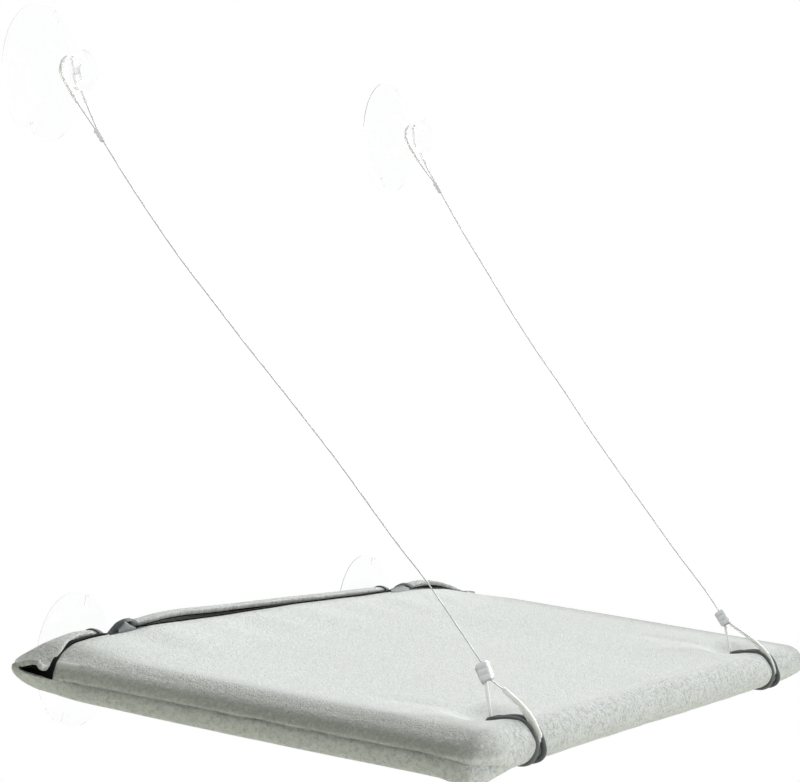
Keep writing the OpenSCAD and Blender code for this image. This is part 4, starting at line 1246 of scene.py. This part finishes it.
# %% Tape and hook and loop
def tape_finish(name, light, dark):
    """Slate twill: two sets of slanting ribs and uneven yarn."""
    f = Finish(name, Roughness=0.78, Specular_IOR_Level=0.3, Sheen_Weight=0.15, Sheen_Roughness=0.5)
    waves = []
    for turn, scale, distortion, detail in (((0.2, 0.5, 0.78), 330, 1.2, 2.0),
            ((0.9, 0.1, -0.78), 520, 0.8, 1.0)):
        waves.append(f.add("TexWave", [("Vector", f.rest(turn=turn)), ("Scale", scale),
            ("Distortion", distortion), ("Detail", detail), ("Detail Scale", 2.0)], output="Fac",
            wave_type="BANDS"))
    yarn = f.noise(f.rest(), 700, 4, 0.7)
    weave = f.math("ADD", f.times(waves[0], 0.55), f.times(waves[1], 0.45))
    tone = f.math("ADD", f.times(weave, 0.6), f.times(yarn, 0.4))
    f.link(f.ramp(tone, (0.2, dark), (0.8, light)), "Base Color")
    f.bump(weave, 0.00025, 0.7)
    return f.material


slate = tape_finish("slate_tape", (0.17, 0.186, 0.203), (0.07, 0.08, 0.09))
pale_slate = tape_finish("slate_tape_inside", (0.24, 0.26, 0.28), (0.13, 0.145, 0.16))


def band_finish(name, hooks):
    """Black fastener: hooks as a regular grid of dots, or a matted pile of fine fibres."""
    f = Finish(name, Roughness=0.95, Specular_IOR_Level=0.06)
    if hooks:
        cells = f.add("TexVoronoi", [("Vector", f.rest()), ("Scale", 620), ("Randomness", 0.35)],
            output="Distance")
        pile = f.ramp(cells, (0.1, 1.0), (0.5, 0.0))
    else:
        pile = f.noise(f.rest(), 1300, 5, 0.75, 1.5)
    f.link(f.ramp(pile, (0.25, (0.002, 0.002, 0.0022)), (0.85, (0.014, 0.014, 0.015))), "Base Color")
    f.bump(pile, 0.0003, 0.4)
    return f.material


loop_black = band_finish("loop_band", False)
hook_black = band_finish("hook_band", True)

# %% [markdown]
# The steel is bright with a soft grain. The sleeves are a milky clear tube. The cups are cast
# from clear plastic, and show only by their edges against a white room. The tube frame inside is
# powder coated, and its elbows are moulded. None of these is a single flat colour: each has a
# fine variation and some relief.

# %% Metal and plastics
def steel_finish(name, colour, roughness, scale):
    """Bright metal with drawn lines and a slight mottle."""
    f = Finish(name, Metallic=1.0)
    grain = f.noise(f.own((1, 1, 0.2)), scale, 4, 0.6)
    f.mottle(grain, colour, 0.86)
    rough = [("Value", grain), ("To Min", roughness - 0.06), ("To Max", roughness + 0.08)]
    f.link(f.add("MapRange", rough), "Roughness")
    f.bump(grain, 0.00005, 0.4)
    return f.material


def clear_finish(name, colour, roughness, transmission, ior, scale=300.0, **more):
    """Clear or milky plastic with slight waves in its surface."""
    f = Finish(name, IOR=ior, Transmission_Weight=transmission, Roughness=roughness, **more)
    wave = f.noise(f.own(), scale, 2, 0.5)
    f.mottle(wave, colour, 0.985)
    f.bump(wave, 0.00008, 0.3)
    return f.material


def moulded_finish(name, colour, roughness):
    """Moulded or coated surface: fine orange peel, a little colour change."""
    f = Finish(name, Roughness=roughness, Specular_IOR_Level=0.45)
    peel = f.noise(f.own(), 900, 3, 0.6)
    f.mottle(peel, colour, 0.9)
    f.bump(peel, 0.0001, 0.5)
    return f.material


wire = steel_finish("twisted_steel", (0.52, 0.525, 0.53), 0.55, 1500)
pressed = steel_finish("pressed_ferrule", (0.66, 0.67, 0.675), 0.5, 500)
clear = clear_finish("clear_cup_plastic", (0.992, 0.995, 0.996), 0.02, 1.0, 1.09)
eye_clear = clear_finish("clear_eye_plastic", (0.95, 0.965, 0.97), 0.08, 1.0, 1.2)
milky = clear_finish("milky_sleeve", (0.985, 0.988, 0.99), 0.4, 0.2, 1.3, 900, Subsurface_Weight=1.0,
    Subsurface_Radius=(1.0, 1.0, 1.0), Subsurface_Scale=0.004)
coated = moulded_finish("coated_tube", (0.62, 0.63, 0.64), 0.38)
elbow_grey = moulded_finish("moulded_elbow", (0.09, 0.095, 0.1), 0.5)
print("finishes:", len(bpy.data.materials))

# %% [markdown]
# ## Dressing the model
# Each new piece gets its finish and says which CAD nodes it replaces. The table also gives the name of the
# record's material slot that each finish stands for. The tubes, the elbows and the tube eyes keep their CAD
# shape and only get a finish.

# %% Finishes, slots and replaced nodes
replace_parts(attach(felt_cover, "platform"), "cover_top", "cover_bottom")
stand_ins = {"flap_": flaps, "loop_strip_": loop_strips, "hook_strip_": hook_strips,
    "flap_binding_": flap_tapes, "slit_binding_": slit_tapes, "notch_binding_": notch_tapes}
for name, group in stand_ins.items():
    for k, piece in group.items():
        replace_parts(piece, name + k)
dress = [
    (felt, "felt", {"cover": felt_cover}, flaps),
    (loop_black, "black_tape", loop_strips),
    (hook_black, "black_tape", hook_strips),
    (slate, "slate_binding", flap_tapes, slit_tapes, notch_tapes, notch_bows),
    (pale_slate, "slate_binding", notch_folds),
    (wire, "steel_cable", cables, upper_loops, lower_loops),
    (pressed, "ferrule_metal", upper_crimps, ferrules),
    (milky, "clear_sleeve", front_sleeves, rear_sleeves, upper_sleeves),
    (clear, "clear_pvc", cups)]
for material, slot, *groups in dress:
    pieces = [piece for group in groups for piece in group.values()]
    for piece in pieces:
        look(piece, material)
    print(slot, "is worn by", len(pieces), "pieces")
kept = {"rear_tube": coated, "front_tube": coated, "side_tube_left": coated, "side_tube_right": coated,
    "elbow_rear_left": elbow_grey, "elbow_rear_right": elbow_grey, "elbow_front_left": elbow_grey,
    "elbow_front_right": elbow_grey, "tube_eye_left": eye_clear, "tube_eye_right": eye_clear}
for name, material in kept.items():
    look(nodes[name], material)
print("dressed", len(kept), "nodes that keep their shape")

# %% [markdown]
# The cover and the flaps are cloth. The cover's piece is 613 mm wide, which is the flat panel and a half roll
# on each side, and 625 mm long, which is the way round both tubes. A flap is a strip 28 mm deep.

print("cover cloth 613 by 625 mm, flaps 28 mm deep")

# %% [markdown]
# ## Camera, floor and light
# The camera stands a step away to the left of the perch, level with its cables, and looks along
# the window. The room is white: rays from the camera, reflections and rays through the clear
# plastic see a white world, and all other rays a dimmer one, so that the felt isn't washed out.
# The floor is pale, keeps the soft shadow and fades to the same white towards its edge.

# %% Camera
camera = bpy.data.objects.new("camera", bpy.data.cameras.new("camera"))
bpy.context.scene.collection.objects.link(camera)
camera.location = (-1.593, -0.9184, 0.1715)
camera.rotation_euler = (math.pi / 2 - 0.002, 0, -1.111)
camera.data.lens = 118.9
camera.data.sensor_width = 36
bpy.context.scene.camera = camera


# %% White world and floor
def white_view(tree, dim, bright):
    """Chooses between two shaders by Light Path: the bright one for rays from the camera, for
    reflections and for rays through clear things."""
    rays = add_node(tree, "LightPath").node.outputs
    total = rays["Is Camera Ray"]
    for name in ("Is Glossy Ray", "Is Transmission Ray"):
        total = add_node(tree, "Math", [(0, total), (1, rays[name])], operation="MAXIMUM")
    return add_node(tree, "MixShader", [(0, total), (1, dim), (2, bright)])


ROOM_LIGHT = 0.41
world = bpy.data.worlds.new("white_room")
bpy.context.scene.world = world
world.use_nodes = True
tree = world.node_tree
dim = tree.nodes["Background"]
dim.inputs["Color"].default_value = (0.97, 1, 0.84, 1)
dim.inputs["Strength"].default_value = ROOM_LIGHT
bright = add_node(tree, "Background", [("Color", (1, 1, 1, 1)), ("Strength", 1.0)])
shown = white_view(tree, dim.outputs[0], bright)
tree.links.new(shown, tree.nodes["World Output"].inputs[0])

FLOOR_AT = (0, -0.15, -0.42)
FLOOR_R = 1.35
turn = np.linspace(0, 2 * np.pi, 97)
ring = np.linspace(0, FLOOR_R, 28)[:, None]
disc = stack(ring * np.cos(turn), ring * np.sin(turn), 0) + FLOOR_AT
floor = put_mesh("floor", *weld([(disc, None, False)]))
f = Finish("pale_floor", Roughness=0.7, Specular_IOR_Level=0.2)
grain = f.noise(f.own(), 60, 4, 0.6)
f.link(f.ramp(grain, (0.3, (0.83, 0.85, 0.75)), (0.7, (0.85, 0.87, 0.77))), "Base Color")
glow = f.add("Emission", [("Strength", 1.0)])
from_middle = [(0, f.add("TexCoord", output="Object")), (1, FLOOR_AT)]
fade = f.smooth(f.add("VectorMath", from_middle, output="Value", operation="DISTANCE"), 0.35, 1.25)
rim = f.add("MixShader", [(0, fade), (1, f.shader.outputs[0]), (2, glow)])
shown = white_view(f.tree, f.shader.outputs[0], rim)
f.tree.links.new(shown, f.tree.nodes["Material Output"].inputs[0])
look(floor, f.material)
floor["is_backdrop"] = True


# %% Lamps
def sun(name, towards, energy, angle):
    """A soft sun that shines from a given direction."""
    lamp = bpy.data.objects.new(name, bpy.data.lights.new(name, "SUN"))
    lamp.data.energy = energy
    lamp.data.angle = math.radians(angle)
    lamp.rotation_mode = "QUATERNION"
    lamp.rotation_quaternion = Vector(towards).to_track_quat("Z", "Y")
    bpy.context.scene.collection.objects.link(lamp)
    return lamp


sun("key_light", (0.92, -0.02, 0.39), 4.15, 38)
sun("front_light", (0.35, -0.93, -0.12), 1.65, 60)
bpy.context.scene.view_settings.view_transform = "Standard"

# %% Sizes and the end
own_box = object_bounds()
for name, box in (("cad box", cad_box), ("visual box", own_box)):
    print(name, [[round(c / MM, 1) for c in v] for v in box])
